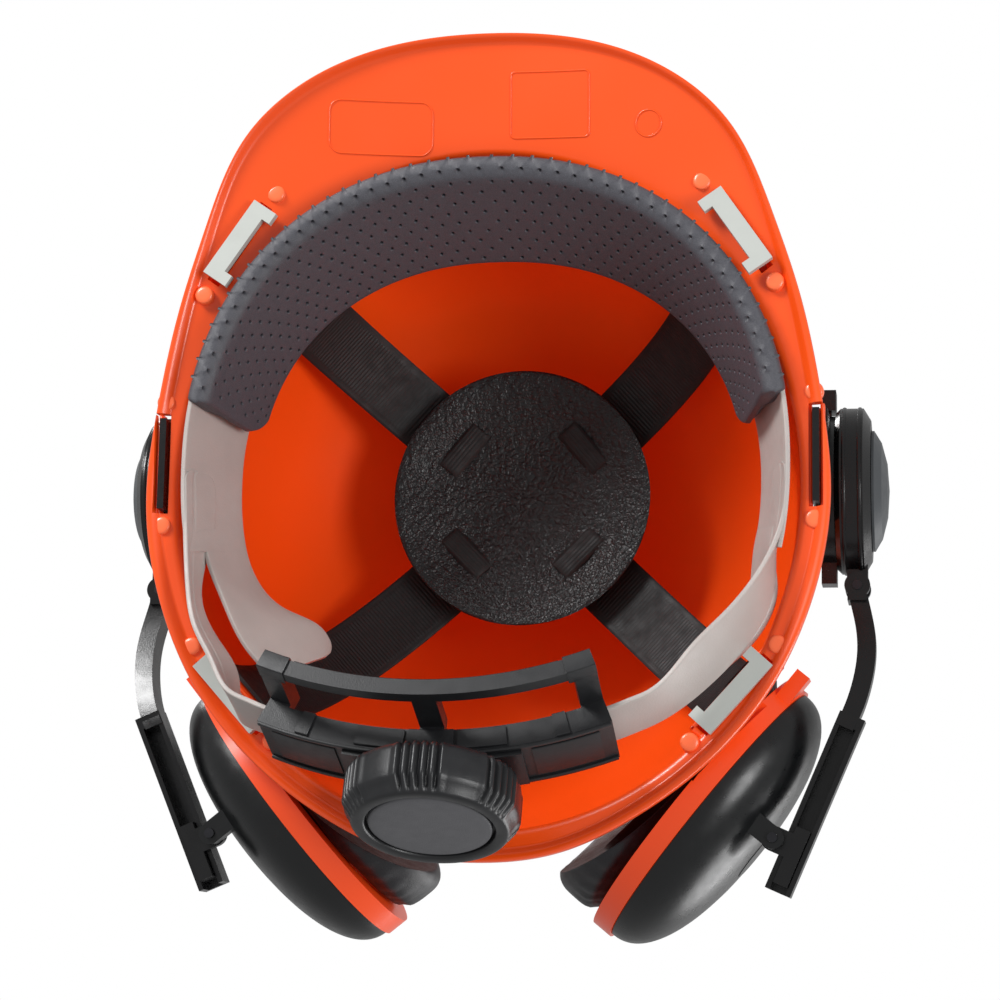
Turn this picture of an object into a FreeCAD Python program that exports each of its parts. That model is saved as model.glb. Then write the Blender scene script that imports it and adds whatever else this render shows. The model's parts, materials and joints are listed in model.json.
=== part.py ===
import FreeCAD, Part
import math
import os
import Sketcher
from FreeCAD import Matrix, Placement, Rotation, Vector

# Hard hat with a webbing suspension, a ratchet nape strap and two slot-mounted earmuffs.
# Frame: +Z up, the peak points to -Y, the wearer's left is +X, millimetres.
# The origin is the middle of the head opening, in the plane where the dome meets its flange.

doc = FreeCAD.newDocument("hard_hat")
sheet = doc.addObject("Spreadsheet::Sheet", "dims")

DIMENSIONS = {
    # dome, flange and peak
    "dome_half_width": 101.0,
    "dome_half_length": 110.0,
    "dome_centre_y": 6.0,
    "dome_height": 128.0,
    "dome_power": 2.3,
    "dome_wall": 2.5,
    "flange_thickness": 2.4,
    "lip_width": 2.2,
    "lip_drop": 2.2,
    "ridge_width": 34.0,
    "ridge_rise": 4.0,
    "boss_radius": 3.0,
    "boss_depth": 1.4,
    # sockets in the flange and the keys that hang the suspension in them
    "key_length": 29.0,
    "key_width": 6.0,
    "key_head": 2.9,
    "key_lug": 4.0,
    "key_blade": 2.4,
    "key_reach": 13.0,
    "slot_clearance": 1.0,
    "socket_height": 17.0,
    # suspension
    "web_width": 24.0,
    "web_thickness": 1.2,
    "web_top": 95.0,
    "web_foot": 8.0,
    "pad_radius": 45.0,
    "pad_thickness": 2.4,
    "pad_sphere": 130.0,
    "band_thickness": 1.6,
    "sweatband_thickness": 3.4,
    # ratchet
    "ratchet_radius": 140.0,
    "ratchet_tilt": 23.0,
    "housing_height": 23.2,
    "housing_inner": 3.6,
    "housing_outer": 4.0,
    "housing_half_angle": 22.4,
    "cavity_height": 20.8,
    "cavity_half": 1.8,
    "knob_radius": 27.5,
    "knob_base": 7.2,
    "knob_depth": 17.0,
    "knob_face_radius": 19.0,
    "pinion_tip": 4.9,
    "pinion_width": 3.0,
    "shaft_radius": 3.0,
    "lane_gap": 5.2,
    "tongue_height": 4.4,
    # earmuffs
    "hub_y": 0.5,
    "hub_z": 47.5,
    "hub_radius": 27.5,
    "blade_length": 30.0,
    "blade_thickness": 2.2,
    "pin_radius": 4.0,
    "hinge_radius": 1.6,
    "arm_height": 13.0,
    "channel_length": 61.0,
    "channel_width": 8.6,
    "channel_height": 9.0,
    "channel_wall": 1.6,
    "cup_half_length": 50.0,
    "cup_half_height": 40.0,
    "cup_depth": 20.0,
    "cup_wall": 2.5,
    "ring_width": 7.0,
    "cushion_depth": 20.0,
    "cushion_width": 19.0,
}


def fill_sheet():
    for row, (alias, value) in enumerate(DIMENSIONS.items(), start=1):
        sheet.set(f"A{row}", alias)
        sheet.set(f"B{row}", str(value))
        sheet.setAlias(f"B{row}", alias)
    doc.recompute()


def dim(alias):
    return float(getattr(sheet, alias))


fill_sheet()
nodes = []


def node(obj, name, placement=None):
    """Names an object as a sub-part, and places it."""
    if placement is not None:
        obj.Placement = placement
    obj.Label = name
    nodes.append(obj)
    return obj


def feature(name, shape, placement=None):
    obj = doc.addObject("Part::Feature", name)
    obj.Shape = shape
    return node(obj, name, placement)


def mirror(source, name):
    """The same piece on the wearer's right."""
    obj = doc.addObject("Part::Mirroring", name)
    obj.Source = source
    obj.Normal = Vector(1, 0, 0)
    return node(obj, name)


def bind(obj, expressions):
    for prop, expression in expressions.items():
        obj.setExpression(prop, expression)
    return obj


def block(name, length, width, height, corner):
    """A Part::Box whose sides are expressions and whose lowest corner is a point."""
    obj = doc.addObject("Part::Box", name)
    bind(obj, {"Length": length, "Width": width, "Height": height})
    obj.Placement = Placement(Vector(*corner), Rotation())
    return obj


def rod(name, radius, length, base, axis=(0, 0, 1), sweep="360"):
    """A Part::Cylinder whose radius and length are expressions."""
    obj = doc.addObject("Part::Cylinder", name)
    bind(obj, {"Radius": radius, "Height": length, "Angle": sweep})
    obj.Placement = Placement(Vector(*base), Rotation(Vector(0, 0, 1), Vector(*axis)))
    return obj


def fuse(name, pieces):
    obj = doc.addObject("Part::MultiFuse", name)
    obj.Shapes = pieces
    return obj


def cut(name, base, tool):
    obj = doc.addObject("Part::Cut", name)
    obj.Base = base
    obj.Tool = tool
    return obj


def origin_plane(body, role):
    return [item for item in body.Origin.OriginFeatures if item.Role == role][0]


def sketch_on(body, role, name, corners):
    """A closed outline of straight sides whose corners are pairs of expressions."""
    sketch = body.newObject("Sketcher::SketchObject", name)
    sketch.AttachmentSupport = [(origin_plane(body, role), "")]
    sketch.MapMode = "FlatFace"
    count = len(corners)
    for index in range(count):
        start = Vector(10 * math.cos(index), 10 * math.sin(index), 0)
        after = (index + 1) % count
        end = Vector(10 * math.cos(after), 10 * math.sin(after), 0)
        sketch.addGeometry(Part.LineSegment(start, end), False)
    for index in range(count):
        sketch.addConstraint(Sketcher.Constraint("Coincident", index, 2, (index + 1) % count, 1))
    for index, (across, along) in enumerate(corners):
        for kind, expression in (("DistanceX", across), ("DistanceY", along)):
            row = sketch.addConstraint(Sketcher.Constraint(kind, -1, 1, index, 1, 1.0))
            sketch.setExpression(f"Constraints[{row}]", expression)
    doc.recompute()
    return sketch


def turned(name, corners):
    """A body turned about its Z axis from an outline in its XZ plane (radius, height)."""
    body = doc.addObject("PartDesign::Body", name)
    sketch = sketch_on(body, "XZ_Plane", name + "_outline", corners)
    turn = body.newObject("PartDesign::Revolution", name + "_turn")
    turn.Profile = sketch
    turn.ReferenceAxis = (origin_plane(body, "Z_Axis"), [""])
    turn.Angle = 360
    doc.recompute()
    return body


# ---------------------------------------------------------------- curves

def superellipse(half_x, half_y, degrees, power):
    """A point of a rounded-square oval, by its parameter angle."""
    angle = math.radians(degrees)
    across = math.copysign(abs(math.cos(angle)) ** (2 / power), math.cos(angle))
    along = math.copysign(abs(math.sin(angle)) ** (2 / power), math.sin(angle))
    return half_x * across, half_y * along


def dome(half_x, half_y, height, foot):
    """A closed dome with a superellipse section, standing on a short upright foot."""
    steps = 12
    points = []
    for step in range(steps + 1):
        x, z = superellipse(half_x, height, 90.0 * step / steps, dim("dome_power"))
        points.append(Vector(max(x, 0.0), 0, z))
    points[-1] = Vector(0, 0, height)
    curve = Part.BSplineCurve()
    curve.interpolate(Points=points, InitialTangent=Vector(0, 0, 1), FinalTangent=Vector(-1, 0, 0))
    base = Vector(half_x, 0, -foot)
    axis_foot = Vector(0, 0, -foot)
    edges = [Part.makeLine(axis_foot, base)]
    if foot > 0:
        edges.append(Part.makeLine(base, points[0]))
    edges += [curve.toShape(), Part.makeLine(points[-1], axis_foot)]
    solid = Part.Face(Part.Wire(edges)).revolve(Vector(0, 0, 0), Vector(0, 0, 1), 360)
    stretch = Matrix()
    stretch.A22 = half_y / half_x
    return solid.transformGeometry(stretch)


def oval_wall(half_y, half_z, depth, start):
    """A closed cup along +X: an oval in the YZ plane, domed by a superellipse."""
    shape = dome(half_y, half_z, depth, start)
    shape.rotate(Vector(0, 0, 0), Vector(1, 1, 1), 120)
    return shape


def oval_prism(half_y, half_z, from_x, to_x):
    """An oval block along X."""
    circle = Part.makeCylinder(half_y, to_x - from_x, Vector(from_x, 0, 0), Vector(1, 0, 0))
    squash = Matrix()
    squash.A33 = half_z / half_y
    return circle.transformGeometry(squash)


def lofted(sections):
    """A solid through closed straight-sided sections, smooth from one to the next."""
    wires = [Part.makePolygon(points + [points[0]]) for points in sections]
    return Part.makeLoft(wires, True, False, False)


def strip(stations, thickness):
    """A flexible strip: each station is its lower and upper edge point; thickness lies outward."""
    sections = []
    count = len(stations)
    for index, (low, high) in enumerate(stations):
        before_low, before_high = stations[max(index - 1, 0)]
        after_low, after_high = stations[min(index + 1, count - 1)]
        run = (after_low + after_high) - (before_low + before_high)
        side = (high - low).cross(run).normalize()
        shift = side * thickness
        sections.append([low, high, high + shift, low + shift])
    return lofted(sections)


# ---------------------------------------------------------------- shell

# Half of the rim's outer edge, from the nape round the wearer's left to the tip of the peak.
RIM_HALF = [
    (0, 126, -1.5), (24, 123.3, -1.5), (47.5, 113, -1.5), (71, 96, -1.2), (91, 73, -1), (105, 43, -0.8),
    (110.8, 10, -0.8), (108.3, -20, -1), (101, -56, -2.5), (93, -80.5, -5), (79.5, -109.5, -9),
    (55.5, -130, -10), (28, -140, -8.5), (0, -142.5, -8),
]
FRONT_KEY = (82.3, -75.5, -34.5)
FRONT_DROP = 4.1
REAR_DROP = 0.6
REAR_KEY = (80.8, 73.2, 42.0)
ACCESSORY_SLOT = (106.2, -2.5, 0.0)
ACCESSORY_SLOT_LENGTH = 33.0
ACCESSORY_SLOT_WIDTH = 4.6
RIM_STATIONS = 40


def rim_curve():
    right = [Vector(-x, y, z) for x, y, z in RIM_HALF[-2:0:-1]]
    points = [Vector(*point) for point in RIM_HALF] + right
    curve = Part.BSplineCurve()
    curve.interpolate(Points=points, PeriodicFlag=True)
    return curve


def rim_sections():
    half = dim("flange_thickness") / 2
    lip = dim("lip_width")
    drop = dim("lip_drop")
    centre = Vector(0, dim("dome_centre_y"), 0)
    half_x = dim("dome_half_width") - 1
    half_y = dim("dome_half_length") - 1
    curve = rim_curve()
    first, last = curve.FirstParameter, curve.LastParameter
    sections = []
    for station in range(RIM_STATIONS):
        edge = curve.value(first + (last - first) * station / RIM_STATIONS)
        out = Vector(edge.x - centre.x, edge.y - centre.y, 0).normalize()
        reach = 1 / math.hypot(out.x / half_x, out.y / half_y)
        inner = centre + out * reach
        up = Vector(0, 0, 1)
        sections.append([
            inner - up * half,
            edge - out * (lip + 1.2) - up * half,
            edge - out * lip - up * (half + drop),
            edge - up * (half + drop),
            edge + up * half,
            inner + up * half,
        ])
    return sections


def turned_box(spot, size, low, inward=0.0):
    """A box centred on a flange socket: size is (outward, along, height)."""
    x, y, degrees = spot
    out, along, height = size
    box = Part.makeBox(out, along, height, Vector(-out / 2 - inward, -along / 2, low))
    box.Placement = Placement(Vector(x, y, 0), Rotation(Vector(0, 0, 1), degrees))
    return box


def both_sides(spot):
    x, y, degrees = spot
    return [(x, y, degrees), (-x, y, 180 - degrees)]


def make_shell():
    wall = dim("dome_wall")
    half = dim("flange_thickness") / 2
    half_x, half_y, height = dim("dome_half_width"), dim("dome_half_length"), dim("dome_height")
    outer = dome(half_x + wall, half_y + wall, height + wall, half)
    inner = dome(half_x, half_y, height, 20)
    ridge = dome(half_x + wall, half_y + wall + 1, height + wall + dim("ridge_rise"), half)
    width = dim("ridge_width")
    ridge = ridge.common(Part.makeBox(width, 300, 200, Vector(-width / 2, -150, 30)))
    for shape in (outer, inner, ridge):
        shape.translate(Vector(0, dim("dome_centre_y"), 0))
    wires = [Part.makePolygon(points + [points[0]]) for points in rim_sections()]
    rim = Part.makeLoft(wires, True, False, True)

    slot = dim("key_length") + 2 * dim("slot_clearance")
    slot_width = dim("key_blade") + 2 * dim("slot_clearance")
    sockets = []
    slots = []
    bosses = []
    for key, drop in ((FRONT_KEY, FRONT_DROP - 1.5), (REAR_KEY, 0)):
        for spot in both_sides(key):
            sockets.append(turned_box(spot, (slot_width + 3.2, slot + 4, dim("socket_height")), 0))
            slots.append(turned_box(spot, (slot_width, slot, dim("socket_height") + 8), -10))
            bosses.append((spot, slot / 2 + 2 * dim("boss_radius") - 1, drop))
    for spot in both_sides(ACCESSORY_SLOT):
        slots.append(turned_box(spot, (ACCESSORY_SLOT_WIDTH, ACCESSORY_SLOT_LENGTH, 20), -10))
        bosses.append((spot, ACCESSORY_SLOT_LENGTH / 2 + 2 * dim("boss_radius") - 2, 0))
    body = outer.fuse([rim, ridge] + sockets)
    for (x, y, degrees), away, drop in bosses:
        for sign in (-1, 1):
            turn = Rotation(Vector(0, 0, 1), degrees)
            offset = turn.multVec(Vector(-0.5, sign * away, 0))
            foot = Vector(x, y, -half - dim("boss_depth") - drop) + offset
            body = body.fuse(Part.makeCylinder(dim("boss_radius"), 2 * half + drop, foot))
    body = body.cut([inner] + slots)
    feature("shell", max(body.Solids, key=lambda solid: solid.Volume))


# ---------------------------------------------------------------- suspension

def make_key(name, spot, drop=0.0):
    """A key: a bar under the flange with a lug at each end, and a blade up into its socket."""
    x, y, degrees = spot
    low = -dim("flange_thickness") / 2 - 0.2 - dim("key_head")
    half = dim("key_length") / 2
    parts = [
        block(name + "_bar", "dims.key_width", "dims.key_length", "dims.key_head",
              (-dim("key_width") / 2, -half, low)),
        block(name + "_blade", "dims.key_blade", "dims.key_length - 4",
              "dims.key_reach + dims.key_head + 2", (-dim("key_blade") / 2, -half + 2, low)),
    ]
    for index, side in enumerate((-half, half - dim("key_lug"))):
        lug = block(f"{name}_lug_{index}", "dims.key_width + 3", "dims.key_lug", "dims.key_head",
                    (-dim("key_width") / 2 - 3, side, low))
        parts.append(lug)
    key = fuse(name, parts)
    return node(key, name, Placement(Vector(x, y, -drop), Rotation(Vector(0, 0, 1), degrees)))


def web_end(spot):
    """Where a strap ends, just inside the wall beside its key."""
    x, y, _ = spot
    centre = dim("dome_centre_y")
    reach = 0.955 / math.hypot(x / dim("dome_half_width"), (y - centre) / dim("dome_half_length"))
    return Vector(x * reach, centre + (y - centre) * reach, 0)


def web_centre():
    return Vector(0, -5, 0)


def make_web(name, start_spot, end_spot, lowered):
    """A webbing strap: a flat arch from one key over the crown to the opposite key."""
    start, end = web_end(start_spot), web_end(end_spot)
    top = dim("web_top") - lowered
    foot = dim("web_foot")
    across = (end - start).cross(Vector(0, 0, 1)).normalize() * (dim("web_width") / 2)
    path = []
    steps = 9
    for step in range(-steps, steps + 1):
        share = math.sin(math.radians(90.0 * step / steps))
        leg = start if step < 0 else end
        rise = (1 - abs(share) ** 2.4) ** (1 / 2.4)
        spot = web_centre() + (leg - web_centre()) * abs(share)
        path.append(spot + Vector(0, 0, foot + (top - foot) * rise))
    stations = [(point - across, point + across) for point in path]
    return feature(name, strip(stations, dim("web_thickness")))


def make_pad():
    """The crown pad: a thin disc cut from a sphere's shell, just under the webbing."""
    top = dim("web_top") - 2 * dim("web_thickness") - 2.2
    centre_z = top - dim("pad_sphere")
    centre = (web_centre().x, web_centre().y, centre_z)
    outer = doc.addObject("Part::Sphere", "pad_outer")
    bind(outer, {"Radius": "dims.pad_sphere"})
    outer.Placement = Placement(Vector(*centre), Rotation())
    inner = doc.addObject("Part::Sphere", "pad_inner")
    bind(inner, {"Radius": "dims.pad_sphere - dims.pad_thickness"})
    inner.Placement = Placement(Vector(*centre), Rotation())
    disc = rod("pad_disc", "dims.pad_radius", "40", (centre[0], centre[1], top - 30))
    trimmed = doc.addObject("Part::Common", "pad_trimmed")
    trimmed.Base = disc
    trimmed.Tool = outer
    node(cut("crown_pad", trimmed, inner), "crown_pad")


BAND_LOW = (98.5, 101.5, -7.0)
BAND_HIGH = (88.5, 79.5, 29.0)
BAND_POWER = 2.2


def band_point(degrees, share, inward=0.0):
    """A point of the head band's cone, from its lower edge (0) to its upper edge (1)."""
    half_x = BAND_LOW[0] + (BAND_HIGH[0] - BAND_LOW[0]) * share - inward
    half_y = BAND_LOW[1] + (BAND_HIGH[1] - BAND_LOW[1]) * share - inward
    x, y = superellipse(half_x, half_y, degrees, BAND_POWER)
    return Vector(x, y, BAND_LOW[2] + (BAND_HIGH[2] - BAND_LOW[2]) * share)


def band_stations(first, last, steps, low, high, inward=0.0):
    stations = []
    for step in range(steps + 1):
        degrees = first + (last - first) * step / steps
        stations.append((band_point(degrees, low, inward), band_point(degrees, high, inward)))
    return stations


# Lower and upper edge of each hanger tab, from the head band's end towards its rear key.
HANGER_LEFT = [
    ((94.0, 40.0, 3.0), (84.0, 40.0, 30.0)),
    ((86.0, 57.0, 4.0), (77.0, 56.0, 28.0)),
    ((72.5, 68.5, 5.0), (64.5, 65.0, 24.0)),
]
HANGER_RIGHT = [
    ((-86.0, 42.0, 1.0), (-73.0, 41.5, 31.0)),
    ((-77.5, 58.0, 1.0), (-61.0, 47.5, 37.0)),
    ((-69.5, 67.0, 4.0), (-56.0, 56.0, 36.0)),
]


def make_band():
    """The head band: a cone round the front and sides, with a hanger tab at each end."""
    thickness = dim("band_thickness")
    band = strip(band_stations(-194, 14, 26, 0, 1), thickness)
    for degrees, points in ((14, HANGER_LEFT), (166, HANGER_RIGHT)):
        inboard = 4 if degrees < 90 else -4
        stations = [
            (band_point(degrees - inboard, 0.3), band_point(degrees - inboard, 1)),
            (band_point(degrees, 0.3), band_point(degrees, 1)),
        ]
        stations += [(Vector(*low), Vector(*high)) for low, high in points]
        if degrees > 90:
            stations.reverse()
        band = band.fuse(strip(stations, thickness))
    feature("headband", band.removeSplitter())


def make_sweatband():
    inward = dim("sweatband_thickness") + 0.5
    stations = band_stations(-169, -11, 24, 0.02, 0.99, inward)
    feature("sweatband", strip(stations, dim("sweatband_thickness")))


# ---------------------------------------------------------------- ratchet

RATCHET_ORIGIN = Vector(-8.5, 95.5, -26.0)


def ratchet_placement():
    """Local X along the nape, Y outward, Z up, tilted so that the knob faces down and back."""
    return Placement(RATCHET_ORIGIN, Rotation(Vector(1, 0, 0), -dim("ratchet_tilt")))


def arc_slice(inner, outer, low, high, first, last):
    """A slice of a tube about the ratchet's arc axis. Depths and heights are from the arc's
    middle, and the angles run from the wearer's right (negative) to the left."""
    radius = dim("ratchet_radius")
    start = 90 - last
    base = Vector(0, -radius, low)
    outside = Part.makeCylinder(radius + outer, high - low, base, Vector(0, 0, 1), last - first)
    inside = Part.makeCylinder(radius + inner, high - low, base, Vector(0, 0, 1), last - first)
    piece = outside.cut(inside)
    piece.rotate(base, Vector(0, 0, 1), start)
    return piece


def along_knob(radius, low, high):
    """A round bar on the knob's axis, between two depths outward."""
    return Part.makeCylinder(radius, high - low, Vector(0, low, 0), Vector(0, 1, 0))


CRADLE_DEPTHS = (-9.5, -4.5)
CRADLE_LOW = -32.0
CRADLE_BAR = 4.5
COVER_HALF_ANGLE = 11.0


def make_housing():
    """The ratchet housing: an arched channel open at both ends, with the nape cradle under it."""
    inner, outer = -dim("housing_inner"), dim("housing_outer")
    half = dim("housing_height") / 2
    reach = dim("housing_half_angle")
    cavity = dim("cavity_half")
    room = dim("cavity_height") / 2
    body = arc_slice(inner, outer, -half, half, -reach, reach)
    near, far = CRADLE_DEPTHS
    bar_top = CRADLE_LOW + CRADLE_BAR
    pieces = [arc_slice(near, far, CRADLE_LOW, bar_top, -reach, reach)]
    for first, last in ((-reach, -reach + 3), (-1.6, 1.6), (reach - 3, reach)):
        pieces.append(arc_slice(near, far, CRADLE_LOW, -half + 4, first, last))
        pieces.append(arc_slice(near, inner + 0.4, -half, -half + 4, first, last))
    body = body.fuse(pieces)
    body = body.cut(arc_slice(-cavity, cavity, -room, room, -reach - 2, reach + 2))
    body = body.cut(along_knob(dim("shaft_radius") + 0.05, 0, 10))
    feature("ratchet_housing", body, ratchet_placement())


def make_cover():
    outer = dim("housing_outer")
    half = dim("housing_height") / 2 - 2
    cover = arc_slice(outer + 0.2, outer + 2.2, -half, half, -COVER_HALF_ANGLE, COVER_HALF_ANGLE)
    cover = cover.cut(along_knob(dim("shaft_radius") + 0.05, 0, 20))
    feature("ratchet_cover", cover, ratchet_placement())


NAPE_LEFT = [
    ((93.4, 28.0, -8.0), (95.2, 31.0, 1.5)),
    ((87.5, 39.5, -14.0), (92.0, 45.0, -1.0)),
    ((79.0, 51.0, -20.5), (84.5, 59.0, -4.5)),
    ((69.5, 62.0, -26.0), (73.5, 71.5, -8.0)),
]
NAPE_RIGHT = [
    ((-93.4, 27.0, -8.0), (-95.0, 30.5, 1.5)),
    ((-94.0, 40.0, -12.5), (-92.5, 44.0, -1.0)),
    ((-90.0, 53.0, -17.5), (-84.5, 58.0, -4.5)),
    ((-82.5, 65.0, -23.0), (-77.5, 69.5, -8.0)),
]
TONGUE_REACH = 8.0
TOOTH_PITCH = 1.6
STRAP_HALF_HEIGHT = 10.0
ROOT_REACH = 5.5


def make_nape_strap(name, points, side):
    """A strap from the head band's fork, ending in a toothed tongue inside the housing."""
    half = dim("band_thickness") / 2
    mouth = dim("housing_half_angle") + 0.3
    tongue = dim("tongue_height")
    low = dim("lane_gap") if side > 0 else -dim("lane_gap") - tongue
    place = ratchet_placement()
    stations = [(Vector(*bottom), Vector(*top)) for bottom, top in points]
    radius = dim("ratchet_radius")
    up = Vector(0, 0, STRAP_HALF_HEIGHT)
    for degrees in (mouth + ROOT_REACH, mouth + ROOT_REACH - 0.5):
        spot = Rotation(Vector(0, 0, 1), -side * degrees).multVec(Vector(0, radius - half, 0))
        spot = spot - Vector(0, radius, 0)
        stations.append((place.multVec(spot - up), place.multVec(spot + up)))
    if side < 0:
        stations.reverse()
    first, last = sorted((side * mouth, side * (mouth + ROOT_REACH - 0.2)))
    root = arc_slice(-half, half, -STRAP_HALF_HEIGHT, STRAP_HALF_HEIGHT, first, last)
    first, last = sorted((-side * TONGUE_REACH, side * (mouth + 0.5)))
    rack = arc_slice(-half, half, low, low + tongue, first, last)
    count = int((last - first - 2) / TOOTH_PITCH)
    edge = low if side > 0 else low + tongue
    for tooth in range(count):
        degrees = first + 1 + tooth * TOOTH_PITCH
        gap = degrees + TOOTH_PITCH / 2
        rack = rack.cut(arc_slice(-half - 1, half + 1, edge - 1.3, edge + 1.3, degrees, gap))
    for shape in (root, rack):
        shape.Placement = place.multiply(shape.Placement)
    strap = strip(stations, dim("band_thickness")).fuse([root, rack])
    feature(name, max(strap.Solids, key=lambda solid: solid.Volume))


def make_knob():
    """The ratchet's hand knob with its shaft, pinion, screw, spring and face disc."""
    place = ratchet_placement()
    on_axis = place.multiply(Placement(Vector(), Rotation(Vector(1, 0, 0), -90)))
    base = "dims.knob_base"
    top = "dims.knob_base + dims.knob_depth"
    recess = "dims.knob_face_radius + 0.2"
    knob = turned("knob_body", [
        ("dims.shaft_radius + 0.05", base + " + 4"),
        ("20", base + " + 4"),
        ("20", base),
        ("dims.knob_radius - 2", base),
        ("dims.knob_radius", base + " + 2.5"),
        ("dims.knob_radius", top + " - 5"),
        ("dims.knob_radius - 3.5", top),
        (recess, top),
        (recess, top + " - 2"),
        ("5", top + " - 2"),
        ("5", top + " - 6"),
        ("dims.shaft_radius + 0.05", top + " - 6"),
    ])
    groove = sketch_on(knob, "XY_Plane", "groove_outline", [
        ("dims.knob_radius - 1.2", "-0.9"),
        ("dims.knob_radius + 3", "-1.6"),
        ("dims.knob_radius + 3", "1.6"),
        ("dims.knob_radius - 1.2", "0.9"),
    ])
    grip = knob.newObject("PartDesign::Pocket", "groove")
    grip.Profile = groove
    grip.setExpression("Length", top + " + 5")
    grip.Reversed = True
    doc.recompute()
    around = knob.newObject("PartDesign::PolarPattern", "grooves")
    around.Originals = [grip]
    around.Axis = (origin_plane(knob, "Z_Axis"), [""])
    around.Angle = 360
    around.Occurrences = 40
    knob.Tip = around
    node(knob, "ratchet_knob", on_axis)

    face = turned("face_disc", [
        ("0", top + " - 1.8"),
        ("dims.knob_face_radius", top + " - 1.8"),
        ("dims.knob_face_radius", top + " - 0.3"),
        ("dims.knob_face_radius - 1.5", top + " + 0.8"),
        ("0", top + " + 1.2"),
    ])
    node(face, "knob_face", on_axis)

    shaft = turned("shaft_body", [
        ("1.5", "-dims.pinion_width / 2"),
        ("dims.pinion_tip", "-dims.pinion_width / 2"),
        ("dims.pinion_tip", "dims.pinion_width / 2"),
        ("dims.shaft_radius", "dims.pinion_width / 2"),
        ("dims.shaft_radius", top + " - 6.2"),
        ("1.5", top + " - 6.2"),
    ])
    gap = sketch_on(shaft, "XY_Plane", "gap_outline", [
        ("dims.pinion_tip - 1.4", "-0.5"),
        ("dims.pinion_tip + 1", "-1.3"),
        ("dims.pinion_tip + 1", "1.3"),
        ("dims.pinion_tip - 1.4", "0.5"),
    ])
    tooth = shaft.newObject("PartDesign::Pocket", "tooth_gap")
    tooth.Profile = gap
    tooth.setExpression("Length", "dims.pinion_width + 1")
    tooth.Midplane = True
    doc.recompute()
    teeth = shaft.newObject("PartDesign::PolarPattern", "tooth_gaps")
    teeth.Originals = [tooth]
    teeth.Axis = (origin_plane(shaft, "Z_Axis"), [""])
    teeth.Angle = 360
    teeth.Occurrences = 9
    shaft.Tip = teeth
    node(shaft, "pinion_shaft", on_axis)

    screw = turned("screw_body", [
        ("0", "dims.knob_base"),
        ("1.4", "dims.knob_base"),
        ("1.4", top + " - 6"),
        ("4", top + " - 6"),
        ("4", top + " - 4.4"),
        ("2.5", top + " - 3.2"),
        ("0", top + " - 3.2"),
    ])
    node(screw, "knob_screw", on_axis)

    ring = turned("detent_body", [
        ("15", "dims.housing_outer + 2.6"),
        ("18", "dims.housing_outer + 2.6"),
        ("18", "dims.housing_outer + 5.2"),
        ("15", "dims.housing_outer + 5.2"),
    ])
    node(ring, "detent_ring", on_axis)
    spring = turned("pawl_body", [
        ("9", "dims.housing_outer + 4.6"),
        ("14", "dims.housing_outer + 5.4"),
        ("14", "dims.housing_outer + 6.2"),
        ("9", "dims.housing_outer + 5.4"),
    ])
    node(spring, "pawl_spring", on_axis)


# ---------------------------------------------------------------- earmuffs (wearer's left)

SLOT_X = ACCESSORY_SLOT[0]
CHANNEL_TURN = 23.2
CHANNEL_START = (116.3, 77.0)
CHANNEL_Z = 30.0
HINGE = (117.6, 33.0, 45.0)
CUP_TURN = 39.0
CUP_CENTRE = (69.2, 107.6, 46.0)
BLOCK_ALONG = 46.0
PIVOT_REACH = -7.6


def hub_axis(depth):
    """A placement whose Z axis is the hub's axis, at a distance out from the wearer's middle."""
    spot = Vector(depth, dim("hub_y"), dim("hub_z"))
    return Placement(spot, Rotation(Vector(0, 1, 0), 90))


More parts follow.
